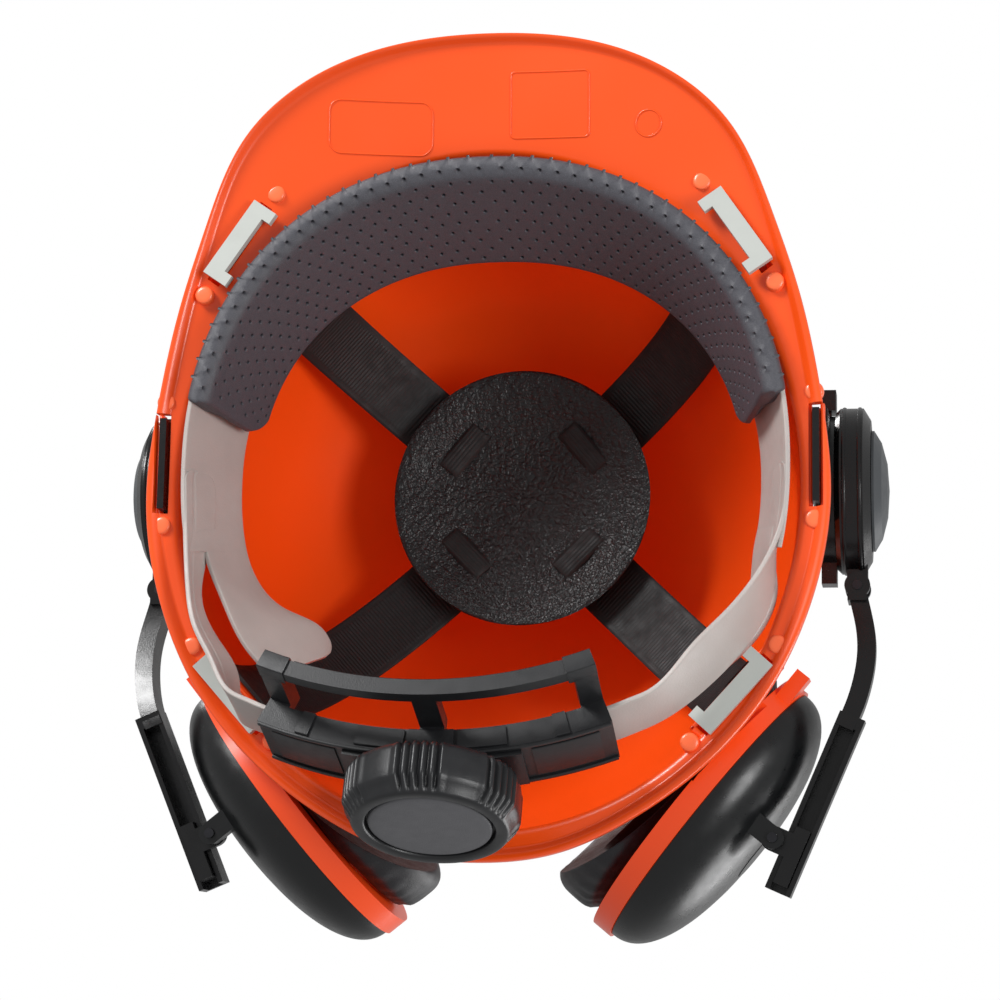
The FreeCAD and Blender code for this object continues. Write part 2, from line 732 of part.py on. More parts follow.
def make_hub():
    half = dim("blade_length") / 2
    left = SLOT_X - 1.1
    blade = block("adapter_blade", "dims.blade_thickness", "dims.blade_length", "14",
                  (left, ACCESSORY_SLOT[1] - half, -3))
    barb = block("adapter_barb", "dims.blade_thickness + 1", "8", "2.4",
                 (left, ACCESSORY_SLOT[1] - 4, 3))
    plate = block("adapter_plate", "4", "dims.blade_length + 4", "dims.hub_z - 8",
                  (left + 0.4, ACCESSORY_SLOT[1] - half - 2, 8))
    hub_foot = (left + 0.4, dim("hub_y"), dim("hub_z"))
    disc = rod("adapter_disc", "dims.hub_radius - 2.5", "5.2", hub_foot, (1, 0, 0))
    stops = []
    for index, side in enumerate((-33.0, 25.0)):
        low = dim("hub_z") - 5
        web = side * 0.75 - 3
        stops.append(block(f"adapter_stop_{index}", "5", "7", "9", (left + 0.8, side, low)))
        stops.append(block(f"adapter_web_{index}", "3.4", "12", "5", (left + 0.8, web, low + 2)))
    solid = fuse("adapter_solid", [blade, barb, plate, disc] + stops)
    bore_foot = (left + 2.4, dim("hub_y"), dim("hub_z"))
    bore = rod("adapter_bore", "dims.pin_radius + 0.03", "6", bore_foot, (1, 0, 0))
    adapter = node(cut("slot_adapter_left", solid, bore), "slot_adapter_left")

    start = left + 2.8
    pin_shank = rod("pin_shank", "dims.pin_radius", str(122.6 - start), (0, 0, 0))
    pin_head = rod("pin_head", "dims.pin_radius + 3", "1.6", (0, 0, 122.6 - start))
    pin = node(fuse("hub_pin_left", [pin_shank, pin_head]), "hub_pin_left", hub_axis(start))

    housing = turned("hub_body", [
        ("dims.pin_radius + 0.05", "0"),
        ("dims.hub_radius - 1.5", "0"),
        ("dims.hub_radius", "1.5"),
        ("dims.hub_radius", "9"),
        ("dims.hub_radius - 4", "11.4"),
        ("20.4", "11.4"),
        ("20.4", "7"),
        ("dims.pin_radius + 0.05", "7"),
    ])
    housing.Placement = hub_axis(111.0)
    x, y, z = HINGE
    ear = block("hinge_ear", "6.8", "8.5", "6.4", (x - 3.4, y - 8.5, z - 3.2))
    ear_end = rod("hinge_ear_end", "3.4", "6.4", (x, y, z - 3.2))
    ear_bore = rod("hinge_ear_bore", "dims.hinge_radius + 0.05", "20", (x, y, z - 10))
    solid = fuse("hub_housing_solid", [housing, ear, ear_end])
    housing = node(cut("hub_housing_left", solid, ear_bore), "hub_housing_left")

    spring = node(turned("hub_spring_left", [
        ("8", "1.8"),
        ("16", "0"),
        ("16", "0.9"),
        ("8", "2.7"),
    ]), "hub_spring_left", hub_axis(118.4))
    cap = node(turned("hub_cap_left", [
        ("0", "5.6"),
        ("9", "5.0"),
        ("16", "3.2"),
        ("20", "0.8"),
        ("20", "0"),
        ("17.5", "0"),
        ("15.5", "1.6"),
        ("9", "3.4"),
        ("0", "4.0"),
    ]), "hub_cap_left", hub_axis(122.6))
    return [adapter, pin, housing, spring, cap]


# Middle of the arm's inner face, from the channel forward to the hinge.
ARM_PATH = [
    (110.8, 79.5, 30.0), (114.6, 71.0, 32.5), (117.0, 61.0, 37.0), (117.4, 50.0, 42.0),
    (115.6, 40.0, 45.0), (114.4, 34.0, 45.0),
]


def channel_placement():
    """Local Y runs along the arm's channel, away from the hub, and X points outward."""
    x, y = CHANNEL_START
    return Placement(Vector(x, y, CHANNEL_Z), Rotation(Vector(0, 0, 1), CHANNEL_TURN))


def make_arm():
    """The arm: a slim bowed bar from the hub's hinge, then a channel open downward."""
    half = dim("arm_height") / 2
    up = Vector(0, 0, half - 1.5)
    bar = strip([(Vector(*point) - up, Vector(*point) + up) for point in ARM_PATH], 6.0)
    hinge = Vector(*HINGE)
    knuckle = Part.makeCylinder(4.2, 2 * half, hinge - Vector(0, 0, half))
    root = Part.makeBox(6.2, 5, 2 * half, hinge + Vector(-3.2, 0, -half))
    slot = Part.makeBox(12, 15, 7.2, hinge + Vector(-6, -11.5, -3.6))
    bore = Part.makeCylinder(dim("hinge_radius") + 0.05, 30, hinge - Vector(0, 0, 15))
    width, height, wall = dim("channel_width"), dim("channel_height"), dim("channel_wall")
    length = dim("channel_length")
    channel = Part.makeBox(width, length, height, Vector(-width / 2, 0, -height / 2))
    groove_corner = Vector(-width / 2 + wall, 4, -height / 2 - wall)
    groove = Part.makeBox(width - 2 * wall, length, height, groove_corner)
    channel = channel.cut(groove)
    channel.Placement = channel_placement()
    body = bar.fuse([knuckle, root]).cut([slot, bore])
    arm = feature("arm_left", body.fuse(channel).removeSplitter())
    pin = node(rod("arm_pin_left", "dims.hinge_radius", "dims.arm_height + 0.8",
                   (hinge.x, hinge.y, hinge.z - half - 0.4)), "arm_pin_left")
    return [arm, pin]


def make_slider():
    """The slider in the arm's channel, with a foot reaching inward for the cup's pivot."""
    inner = dim("channel_width") - 2 * dim("channel_wall") - 0.6
    bottom = -dim("channel_height") / 2
    top = dim("channel_height") / 2 - dim("channel_wall") - 0.35
    low = bottom - 3.0
    length = 19.0
    body = Part.makeBox(inner, length, top - low, Vector(-inner / 2, BLOCK_ALONG - length / 2 + 3, low))
    foot = Part.makeBox(inner / 2 - PIVOT_REACH, 8, 2.7, Vector(PIVOT_REACH, BLOCK_ALONG - 4, low))
    toe = Part.makeCylinder(4, 2.7, Vector(PIVOT_REACH, BLOCK_ALONG, low))
    bore = Part.makeCylinder(dim("hinge_radius") + 0.05, 30, Vector(PIVOT_REACH, BLOCK_ALONG, -20))
    slider = feature("slider_block_left", body.fuse([foot, toe]).cut(bore), channel_placement())
    base = channel_placement().multVec(Vector(PIVOT_REACH, BLOCK_ALONG, low - 6.0))
    pin = node(rod("cup_pivot_left", "dims.hinge_radius", "8.9", tuple(base)), "cup_pivot_left")
    return [slider, pin]


def cup_placement():
    return Placement(Vector(*CUP_CENTRE), Rotation(Vector(0, 0, 1), CUP_TURN))


SLIDE_TRAVEL = 6.0
SWIVEL_TRAVEL = 6.0
RELIEF_GAP = 1.0


def cup_motions():
    """The cup's moves from its parked place: slid towards the hub, swivelled, and both."""
    pivot = channel_placement().multVec(Vector(PIVOT_REACH, BLOCK_ALONG, 0))
    slide = channel_placement().Rotation.multVec(Vector(0, -SLIDE_TRAVEL, 0))
    swivel = Placement(Vector(), Rotation(Vector(0, 0, 1), SWIVEL_TRAVEL), pivot)
    slid = Placement(slide, Rotation())
    return [Placement(), slid, swivel, slid.multiply(swivel)]


def shell_reliefs():
    """What a parked cushion stays clear of, in the cup's own frame, over the cup's travel."""
    wall = dim("dome_wall") + RELIEF_GAP
    half_x, half_y = dim("dome_half_width") + wall, dim("dome_half_length") + wall
    body = dome(half_x, half_y, dim("dome_height") + wall, 4)
    body.translate(Vector(0, dim("dome_centre_y"), 0))
    reliefs = []
    for motion in cup_motions():
        turn = cup_placement().inverse().multiply(motion.inverse())
        for solid in (body, turned_box(REAR_KEY, (11, 40, dim("socket_height") + 2), 0)):
            moved = solid.copy()
            moved.Placement = turn.multiply(moved.Placement)
            reliefs.append(moved)
    return reliefs


def make_cup():
    half_y, half_z, depth = dim("cup_half_length"), dim("cup_half_height"), dim("cup_depth")
    wall = dim("cup_wall")
    ring, cushion = dim("ring_width"), dim("cushion_depth")
    place = cup_placement()
    cup = oval_wall(half_y, half_z, depth, 0)
    hollow = oval_wall(half_y - wall, half_z - wall, depth - wall, 4)
    pivot = place.inverse().multVec(channel_placement().multVec(Vector(PIVOT_REACH, BLOCK_ALONG, 0)))
    lug_top = pivot.z - dim("channel_height") / 2 - 3.3
    lug = Part.makeBox(14, 7.2, 4.6, Vector(pivot.x - 14, pivot.y - 3.6, lug_top - 4.6))
    lug = lug.fuse(Part.makeCylinder(3.6, 4.6, Vector(pivot.x, pivot.y, lug_top - 4.6)))
    bore = Part.makeCylinder(dim("hinge_radius") + 0.05, 16, Vector(pivot.x, pivot.y, lug_top - 12))
    shape = cup.fuse(lug).cut([hollow, bore])
    shell = feature("cup_shell_left", shape.removeSplitter(), place)

    band = oval_prism(half_y + 1, half_z + 1, -ring, -0.2)
    band = band.cut(oval_prism(half_y - 9, half_z - 9, -ring - 1, 1))
    tab = Part.makeBox(5, 4, 9, Vector(-5.5, -half_y - 4, -22))
    tab_root = Part.makeBox(5, 8, 9, Vector(-5.5, -half_y, -22))
    tab_root = tab_root.cut(oval_prism(half_y - 4, half_z - 4, -ring - 1, 1))
    band = band.fuse([tab, tab_root]).cut(shell_reliefs())
    band = feature("cup_ring_left", max(band.Solids, key=lambda solid: solid.Volume), place)

    width = dim("cushion_width")
    pad = oval_prism(half_y - 0.5, half_z - 0.5, -ring - cushion, -ring - 0.2)
    pad = pad.cut(oval_prism(half_y - width, half_z - width, -ring - cushion - 1, 0))
    pad = pad.cut(shell_reliefs())
    pad = feature("cup_cushion_left", max(pad.Solids, key=lambda solid: solid.Volume), place)

    filling = oval_wall(half_y - wall - 3, half_z - wall - 3, depth - wall - 2, 0)
    deep_part = Part.makeBox(40, 120, 120, Vector(depth - wall - 12, -60, -60))
    foam = feature("cup_foam_left", filling.common(deep_part), place)
    return [shell, band, pad, foam]


def make_earmuffs():
    for piece in make_hub() + make_arm() + make_slider() + make_cup():
        mirror(piece, piece.Label.replace("_left", "_right"))


# ---------------------------------------------------------------- the whole hat

def build():
    make_shell()
    make_key("key_front_left", FRONT_KEY, FRONT_DROP)
    make_key("key_rear_left", REAR_KEY, REAR_DROP)
    for piece in list(nodes[-2:]):
        mirror(piece, piece.Label.replace("_left", "_right"))
    front_right, rear_right = both_sides(FRONT_KEY)[1], both_sides(REAR_KEY)[1]
    make_web("strap_front_left", FRONT_KEY, rear_right, 0.0)
    make_web("strap_front_right", front_right, REAR_KEY, dim("web_thickness") + 0.4)
    make_pad()
    make_band()
    make_sweatband()
    make_housing()
    make_cover()
    make_nape_strap("nape_strap_left", NAPE_LEFT, 1)
    make_nape_strap("nape_strap_right", NAPE_RIGHT, -1)
    make_knob()
    make_earmuffs()
    doc.recompute()


def write():
    for obj in doc.Objects:
        if "Invalid" in obj.State or "Error" in obj.State:
            raise RuntimeError(f"{obj.Name} failed: {obj.State}")
    os.makedirs("parts", exist_ok=True)
    for obj in nodes:
        shape = obj.Shape
        if shape.isNull() or not shape.isValid():
            raise RuntimeError(f"{obj.Label} has no valid shape")
        shape.exportStep(os.path.join("parts", obj.Label + ".step"))
        print(f"{obj.Label}: {len(shape.Solids)} solid(s), {shape.Volume / 1000:.2f} cm3")


build()
write()
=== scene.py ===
import json
import math

import bmesh
import bpy
import numpy as np
from mathutils import Matrix, Vector, noise


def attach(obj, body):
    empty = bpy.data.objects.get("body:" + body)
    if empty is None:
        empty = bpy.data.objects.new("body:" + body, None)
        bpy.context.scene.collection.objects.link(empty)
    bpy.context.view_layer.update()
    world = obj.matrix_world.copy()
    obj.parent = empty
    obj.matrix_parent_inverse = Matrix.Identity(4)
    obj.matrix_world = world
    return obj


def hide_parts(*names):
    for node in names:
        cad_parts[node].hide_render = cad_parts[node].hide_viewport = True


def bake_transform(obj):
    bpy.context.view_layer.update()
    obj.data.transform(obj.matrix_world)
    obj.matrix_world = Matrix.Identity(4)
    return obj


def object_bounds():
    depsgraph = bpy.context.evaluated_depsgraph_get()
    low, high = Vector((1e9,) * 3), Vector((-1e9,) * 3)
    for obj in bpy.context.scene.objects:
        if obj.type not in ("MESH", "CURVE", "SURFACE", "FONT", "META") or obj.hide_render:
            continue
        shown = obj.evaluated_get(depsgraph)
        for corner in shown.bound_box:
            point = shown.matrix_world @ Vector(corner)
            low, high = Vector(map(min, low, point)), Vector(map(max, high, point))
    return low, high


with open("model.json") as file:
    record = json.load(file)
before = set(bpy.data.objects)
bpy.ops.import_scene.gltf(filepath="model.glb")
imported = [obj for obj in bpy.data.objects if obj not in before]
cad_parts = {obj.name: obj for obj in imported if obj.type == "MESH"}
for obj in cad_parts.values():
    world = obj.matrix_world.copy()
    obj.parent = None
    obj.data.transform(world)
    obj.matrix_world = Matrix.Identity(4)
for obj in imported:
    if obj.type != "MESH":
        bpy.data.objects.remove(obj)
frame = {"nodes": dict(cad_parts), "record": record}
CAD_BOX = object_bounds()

MM = 0.001


# ---------------------------------------------------------------- camera, lights and floor

def make_camera():
    """Looks up into the hat from below, as at a hat lying on its crown."""
    data = bpy.data.cameras.new("camera")
    camera = bpy.data.objects.new("camera", data)
    bpy.context.scene.collection.objects.link(camera)
    data.sensor_width = 36
    data.lens = 98.4
    data.clip_start = 0.05
    pitch, yaw, roll = -0.178, 0.162, 0.017
    turn = Matrix.Rotation(roll, 3, "Z") @ Matrix.Rotation(pitch, 3, "X") @ Matrix.Rotation(yaw, 3, "Y")
    right, down, ahead = turn[0], turn[1], turn[2]
    axes = Matrix((right, -down, -ahead)).transposed().to_4x4()
    camera.matrix_world = Matrix.Translation((0.1444, 0.1655, -0.850)) @ axes
    bpy.context.scene.camera = camera


def area_light(name, place, target, size, power, colour=(1, 1, 1)):
    data = bpy.data.lights.new(name, "AREA")
    data.shape = "DISK"
    data.size = size
    data.energy = power
    data.color = colour
    lamp = bpy.data.objects.new(name, data)
    bpy.context.scene.collection.objects.link(lamp)
    lamp.location = place
    lamp.rotation_euler = (Vector(target) - Vector(place)).to_track_quat("-Z", "Y").to_euler()


def make_world():
    world = bpy.data.worlds.new("studio")
    bpy.context.scene.world = world
    world.use_nodes = True
    tree = world.node_tree
    tree.nodes.clear()
    output = tree.nodes.new("ShaderNodeOutputWorld")
    seen = tree.nodes.new("ShaderNodeBackground")
    seen.inputs["Strength"].default_value = 1.0
    light = tree.nodes.new("ShaderNodeBackground")
    light.inputs["Color"].default_value = (1.0, 1.0, 1.0, 1)
    light.inputs["Strength"].default_value = 0.42
    path = tree.nodes.new("ShaderNodeLightPath")
    mix = tree.nodes.new("ShaderNodeMixShader")
    seen.inputs["Color"].default_value = (1, 1, 1, 1)
    tree.links.new(path.outputs["Is Camera Ray"], mix.inputs["Fac"])
    tree.links.new(light.outputs["Background"], mix.inputs[1])
    tree.links.new(seen.outputs["Background"], mix.inputs[2])
    tree.links.new(mix.outputs["Shader"], output.inputs["Surface"])


def make_floor():
    """A plain pale floor under the hat. It is seen only from above, so it doesn't hide a view from below."""
    low = CAD_BOX[0][2] - 0.004
    bpy.ops.mesh.primitive_plane_add(size=6, location=(0, 0, low))
    floor = bpy.context.object
    floor.name = "floor"
    material = bpy.data.materials.new("floor")
    material.use_nodes = True
    tree = material.node_tree
    tree.nodes.clear()
    output = tree.nodes.new("ShaderNodeOutputMaterial")
    paint = tree.nodes.new("ShaderNodeBsdfDiffuse")
    paint.inputs["Color"].default_value = (0.82, 0.82, 0.82, 1)
    clear = tree.nodes.new("ShaderNodeBsdfTransparent")
    path = tree.nodes.new("ShaderNodeLightPath")
    side = tree.nodes.new("ShaderNodeNewGeometry")
    front = tree.nodes.new("ShaderNodeMath")
    front.operation = "SUBTRACT"
    front.use_clamp = True
    mix = tree.nodes.new("ShaderNodeMixShader")
    tree.links.new(path.outputs["Is Camera Ray"], front.inputs[0])
    tree.links.new(side.outputs["Backfacing"], front.inputs[1])
    tree.links.new(front.outputs["Value"], mix.inputs["Fac"])
    tree.links.new(clear.outputs["BSDF"], mix.inputs[1])
    tree.links.new(paint.outputs["BSDF"], mix.inputs[2])
    tree.links.new(mix.outputs["Shader"], output.inputs["Surface"])
    floor.data.materials.append(material)


def make_studio():
    bpy.context.scene.view_settings.view_transform = "Standard"
    make_world()
    make_floor()
    area_light("key_below", (-0.75, -0.85, -0.75), (0, -0.02, 0.0), 0.5, 17)
    area_light("fill_below", (0.95, 0.15, -0.75), (0, 0, 0.03), 0.6, 8)
    area_light("key_above", (-0.9, -1.2, 1.3), (0, 0, 0.05), 1.0, 22)
    area_light("fill_above", (1.1, 0.9, 1.1), (0, 0, 0.05), 1.2, 14)


# ---------------------------------------------------------------- materials

class Shader:
    """A principled material and the few node moves that the looks below are made of."""

    def __init__(self, name, colour, roughness, **sockets):
        self.material = bpy.data.materials.new(name)
        self.material.use_nodes = True
        self.tree = self.material.node_tree
        self.main = self.tree.nodes["Principled BSDF"]
        self.main.inputs["Base Color"].default_value = (*colour, 1)
        self.main.inputs["Roughness"].default_value = roughness
        for socket, value in sockets.items():
            self.main.inputs[socket.replace("_", " ")].default_value = value
        self.place = self.tree.nodes.new("ShaderNodeTexCoord").outputs["Object"]
        self.normal = None

    def node(self, kind, **values):
        made = self.tree.nodes.new(kind)
        for name, value in values.items():
            setattr(made, name, value)
        return made

    def noise(self, scale, detail=3.0, rough=0.55):
        made = self.node("ShaderNodeTexNoise")
        made.inputs["Scale"].default_value = scale
        made.inputs["Detail"].default_value = detail
        made.inputs["Roughness"].default_value = rough
        self.tree.links.new(self.place, made.inputs["Vector"])
        return made.outputs["Fac"]

    def voronoi(self, scale, feature="F1", randomness=1.0):
        made = self.node("ShaderNodeTexVoronoi", feature=feature)
        made.inputs["Scale"].default_value = scale
        made.inputs["Randomness"].default_value = randomness
        self.tree.links.new(self.place, made.inputs["Vector"])
        return made.outputs["Distance"]

    def span(self, value, low, high, to_low, to_high):
        made = self.node("ShaderNodeMapRange")
        for name, number in zip(("From Min", "From Max", "To Min", "To Max"), (low, high, to_low, to_high)):
            made.inputs[name].default_value = number
        self.tree.links.new(value, made.inputs["Value"])
        return made.outputs["Result"]

    def bump(self, height, distance, strength=1.0):
        made = self.node("ShaderNodeBump")
        made.inputs["Distance"].default_value = distance
        made.inputs["Strength"].default_value = strength
        self.tree.links.new(height, made.inputs["Height"])
        if self.normal is not None:
            self.tree.links.new(self.normal, made.inputs["Normal"])
        self.normal = made.outputs["Normal"]
        self.tree.links.new(self.normal, self.main.inputs["Normal"])
        return self

    def tint(self, factor, dark, light):
        ramp = self.node("ShaderNodeMix", data_type="RGBA")
        ramp.inputs["A"].default_value = (*dark, 1)
        ramp.inputs["B"].default_value = (*light, 1)
        self.tree.links.new(factor, ramp.inputs["Factor"])
        self.tree.links.new(ramp.outputs["Result"], self.main.inputs["Base Color"])
        return self

    def rough(self, factor, low, high):
        self.tree.links.new(self.span(factor, 0.3, 0.7, low, high), self.main.inputs["Roughness"])
        return self


def plastic(name, colour, roughness, grain=1800.0, depth=0.00003, spread=0.04, **sockets):
    """Moulded plastic: faint grain, uneven gloss and a little colour drift."""
    made = Shader(name, colour, roughness, **sockets)
    drift = made.span(made.noise(45.0), 0.3, 0.7, 0.0, 1.0)
    made.tint(drift, [c * (1 - spread) for c in colour], [min(1, c * (1 + spread)) for c in colour])
    made.rough(made.noise(240.0, 4.0), roughness * 0.85, min(1.0, roughness * 1.2))
    made.bump(made.noise(grain, 2.0), depth)
    return made.material


def glossy_orange_painted_glow(name, colour):
    """Bright fluorescent-orange moulded shell: smooth, faintly wavy, with a clear gloss over it. Its faint emission is
    a painted glow that lifts its shade.
    """
    # Painted glow: the emission below makes the orange glow faintly, brightening its shaded parts.
    made = Shader(name, colour, 0.33, Coat_Weight=0.3, Coat_Roughness=0.15, Emission_Strength=0.08)
    made.main.inputs["Emission Color"].default_value = (1.0, 0.035, 0.002, 1)
    drift = made.span(made.noise(14.0, 1.0), 0.3, 0.7, 0.0, 1.0)
    made.tint(drift, [c * 0.96 for c in colour], [min(1, c * 1.03) for c in colour])
    made.tree.links.new(made.span(made.noise(30.0, 1.0), 0.3, 0.7, 0.28, 0.38), made.main.inputs["Roughness"])
    made.bump(made.noise(35.0, 1.0), 0.00012)
    return made.material


def leather(name, dark, light, roughness, cell=900.0, depth=0.00012):
    """Leatherette: an embossed cell grain, with painted shade darkening its creases."""
    made = Shader(name, light, roughness)
    cells = made.voronoi(cell, "DISTANCE_TO_EDGE")
    # Painted shade: the colour runs from the dark tone in the creases at the cell edges to the light tone on the
    # pebbles.
    made.tint(made.span(cells, 0.0, 0.25, 0.0, 1.0), dark, light)
    made.rough(made.noise(300.0, 4.0), roughness * 0.85, min(1.0, roughness * 1.15))
    made.bump(made.span(cells, 0.0, 0.3, 0.0, 1.0), depth)
    made.bump(made.noise(2500.0, 2.0), depth * 0.4)
    return made.material


def make_materials():
    return {
        "shell": glossy_orange_painted_glow("shell_orange", (0.90, 0.086, 0.005)),
        # The moulded dots get a lighter, pinker copy of the shell orange: a painted highlight.
        "dot": glossy_orange_painted_glow("dot_orange_painted_highlight", (1.0, 0.17, 0.055)),
        "key": plastic("key_grey", (0.50, 0.52, 0.49), 0.42),
        "webbing": plastic("webbing_black", (0.007, 0.007, 0.0075), 0.6, 3000.0, 0.00008, 0.2),
        # In each leather below, the first colour is the painted shade in its creases.
        "crown_pad": leather("pad_leather", (0.004, 0.004, 0.005), (0.011, 0.011, 0.012), 0.36),
        "band": plastic("band_grey", (0.47, 0.425, 0.40), 0.45, 1500.0, 0.00006, 0.05,
                        Subsurface_Weight=0.4, Subsurface_Radius=(0.004, 0.003, 0.003), Subsurface_Scale=0.4),
        "sweatband": leather("sweatband_slate", (0.055, 0.055, 0.065), (0.085, 0.085, 0.10), 0.48, 2200.0, 0.00004),
        "ratchet": plastic("ratchet_charcoal", (0.011, 0.0115, 0.013), 0.38, 2200.0, 0.00004),
        "knob_face": plastic("knob_face_grey", (0.10, 0.10, 0.108), 0.5, 2600.0, 0.00010),
        "steel": plastic("steel_blackened", (0.05, 0.05, 0.055), 0.35, Metallic=1.0),
        "arm": plastic("arm_black", (0.004, 0.004, 0.0045), 0.25),
        "hub_cap": plastic("hub_cap_grey", (0.055, 0.06, 0.065), 0.4),
        "cup": plastic("cup_black", (0.004, 0.0045, 0.005), 0.30, 2600.0, 0.00002),
        "ring": glossy_orange_painted_glow("ring_orange", (0.90, 0.080, 0.006)),
        "cushion": leather("cushion_black", (0.005, 0.005, 0.007), (0.012, 0.012, 0.015), 0.42, 2600.0, 0.00003),
        "foam": plastic("foam_grey", (0.03, 0.03, 0.033), 0.9, 900.0, 0.0004, 0.3),
    }


MATERIALS = make_materials()


def paint_nodes():
    """Every CAD node starts with its slot's material."""
    for entry in frame["record"]["subparts"]:
        obj = frame["nodes"][entry["node"]]
        obj.data.materials.clear()
        obj.data.materials.append(MATERIALS[entry["material_slot"]])


# ---------------------------------------------------------------- shapes

def add_mesh(name, vertices, faces, material, body, smooth=True):
    """A mesh from points in millimetres, riding on a body of the frame."""
    mesh = bpy.data.meshes.new(name)
    mesh.from_pydata([tuple(v) for v in np.asarray(vertices, float) * MM], [], faces)
    mesh.update()
    obj = bpy.data.objects.new(name, mesh)
    bpy.context.scene.collection.objects.link(obj)
    finish_mesh(obj, material, smooth)
    if body is not None:
        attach(obj, body)
    return obj


def finish_mesh(obj, material, smooth=True):
    work = bmesh.new()
    work.from_mesh(obj.data)
    bmesh.ops.remove_doubles(work, verts=work.verts, dist=1e-6)
    bmesh.ops.recalc_face_normals(work, faces=work.faces)
    work.to_mesh(obj.data)
    work.free()
    obj.data.materials.clear()
    obj.data.materials.append(material)
    if smooth:
        obj.data.shade_smooth()
        obj.data.set_sharp_from_angle(angle=math.radians(50))


def modifier(obj, kind, **values):
    made = obj.modifiers.new(kind.lower(), kind)
    for name, value in values.items():
        setattr(made, name, value)
    return made


def quads(rows, columns, wrap_columns=True, wrap_rows=False):
    """Faces of a grid whose points are numbered row by row."""
    faces = []
    for row in range(rows if wrap_rows else rows - 1):
        after = (row + 1) % rows
        for column in range(columns if wrap_columns else columns - 1):
            beside = (column + 1) % columns
            faces.append((row * columns + column, row * columns + beside,
                          after * columns + beside, after * columns + column))
    return faces


def sweep(name, rings, material, body, smooth=True):
    """A closed skin through closed sections, with a flat cap at each end."""
    rings = np.asarray(rings, float)
    rows, columns = rings.shape[:2]
    faces = quads(rows, columns)
    faces.append(tuple(reversed(range(columns))))
    faces.append(tuple((rows - 1) * columns + column for column in range(columns)))
    return add_mesh(name, rings.reshape(-1, 3), faces, material, body, smooth)


def spline(points, count):
    """A smooth curve through points, as count points evenly along its chords."""
    points = np.asarray(points, float)
    gaps = np.maximum(np.linalg.norm(np.diff(points, axis=0), axis=1), 1e-9)
    stops = np.concatenate(([0], np.cumsum(gaps)))
    size = len(points)
    system = np.eye(size)
    right = np.zeros_like(points)
    for i in range(1, size - 1):
        system[i, i - 1:i + 2] = gaps[i - 1], 2 * (gaps[i - 1] + gaps[i]), gaps[i]
        right[i] = 6 * ((points[i + 1] - points[i]) / gaps[i] - (points[i] - points[i - 1]) / gaps[i - 1])
    bend = np.linalg.solve(system, right)
    along = np.linspace(0, stops[-1], count)
    k = np.clip(np.searchsorted(stops, along, side="right") - 1, 0, size - 2)
    b = ((along - stops[k]) / gaps[k])[:, None]
    a = 1 - b
    curved = ((a ** 3 - a) * bend[k] + (b ** 3 - b) * bend[k + 1]) * (gaps[k] ** 2)[:, None] / 6
    return a * points[k] + b * points[k + 1] + curved


def unit(vectors):
    return vectors / np.maximum(np.linalg.norm(vectors, axis=-1, keepdims=True), 1e-12)


def ease(value):
    value = np.clip(value, 0, 1)
    return value * value * (3 - 2 * value)


def superellipse(half_x, half_y, degrees, power):
    c, s = np.cos(np.radians(degrees)), np.sin(np.radians(degrees))
    return half_x * np.sign(c) * np.abs(c) ** (2 / power), half_y * np.sign(s) * np.abs(s) ** (2 / power)


def rounded_profile(width, depth, radius, corner=4, spans=8):
    """A closed rounded rectangle as (across, outward) points."""
    points = []
    arcs = (((radius, radius), 180), ((width - radius, radius), 270),
            ((width - radius, depth - radius), 0), ((radius, depth - radius), 90))
    for index, ((x, y), start) in enumerate(arcs):
        for step in range(corner + 1):
            angle = math.radians(start + 90 * step / corner)
            points.append((x + radius * math.cos(angle), y + radius * math.sin(angle)))
        after = arcs[(index + 1) % 4]
        first = np.array(points[-1])
        turn = math.radians(after[1])
        last = np.array(after[0]) + radius * np.array((math.cos(turn), math.sin(turn)))
        if index % 2 == 0:
            points += [tuple(first + (last - first) * step / spans) for step in range(1, spans)]
    return np.array(points)


def strip_frame(low, high):
    """Unit directions across a strip (low to high edge) and outward, at each station."""
    middle = (low + high) / 2
    across = unit(high - low)
    outward = unit(np.cross(across, np.gradient(middle, axis=0)))
    return across, outward


def strip_rings(low, high, thickness, groove=None):
    """Rounded sections of a flexible strip between two edge curves, with a crease along its inner face if asked."""
    across, outward = strip_frame(low, high)
    widths = np.linalg.norm(high - low, axis=1)
    rings = []
    for i, width in enumerate(widths):
        profile = rounded_profile(width, thickness, min(0.45, width / 2.2), spans=8 if groove is None else 30)
        if groove is not None:
            inner = profile[:, 1] > thickness / 2
            profile[inner, 1] -= 0.4 * np.exp(-((profile[inner, 0] / width - groove) / 0.03) ** 2)
        rings.append(low[i] + across[i] * profile[:, :1] + outward[i] * profile[:, 1:])
    return rings


def round_end(low, high, radius, at_start=False):
    """Draws a strip's edges together over the last few millimetres, as a rounded corner does."""
    low, high = low.copy(), high.copy()
    middle = (low + high) / 2
    steps = np.linalg.norm(np.diff(middle, axis=0), axis=1)
    along = np.concatenate(([0], np.cumsum(steps)))
    left = along if at_start else along[-1] - along
    near = np.clip(radius - left, 0, radius)
    pull = (radius - np.sqrt(np.maximum(radius ** 2 - near ** 2, 0)))[:, None]
    across = unit(high - low)
    return low + across * pull, high - across * pull


def rounded_box(name, size, place, radius, material, body, segments=3):
    """A block with rounded edges. place is its 4 by 4 matrix, in millimetres."""
    work = bmesh.new()
    bmesh.ops.create_cube(work, size=1)
    bmesh.ops.scale(work, vec=size, verts=work.verts)
    bmesh.ops.bevel(work, geom=work.edges[:], offset=radius, segments=segments, profile=0.5, affect="EDGES")
    bmesh.ops.transform(work, matrix=place, verts=work.verts)
    vertices = [v.co[:] for v in work.verts]
    faces = [[v.index for v in face.verts] for face in work.faces]
    work.free()
    return add_mesh(name, vertices, faces, material, body)


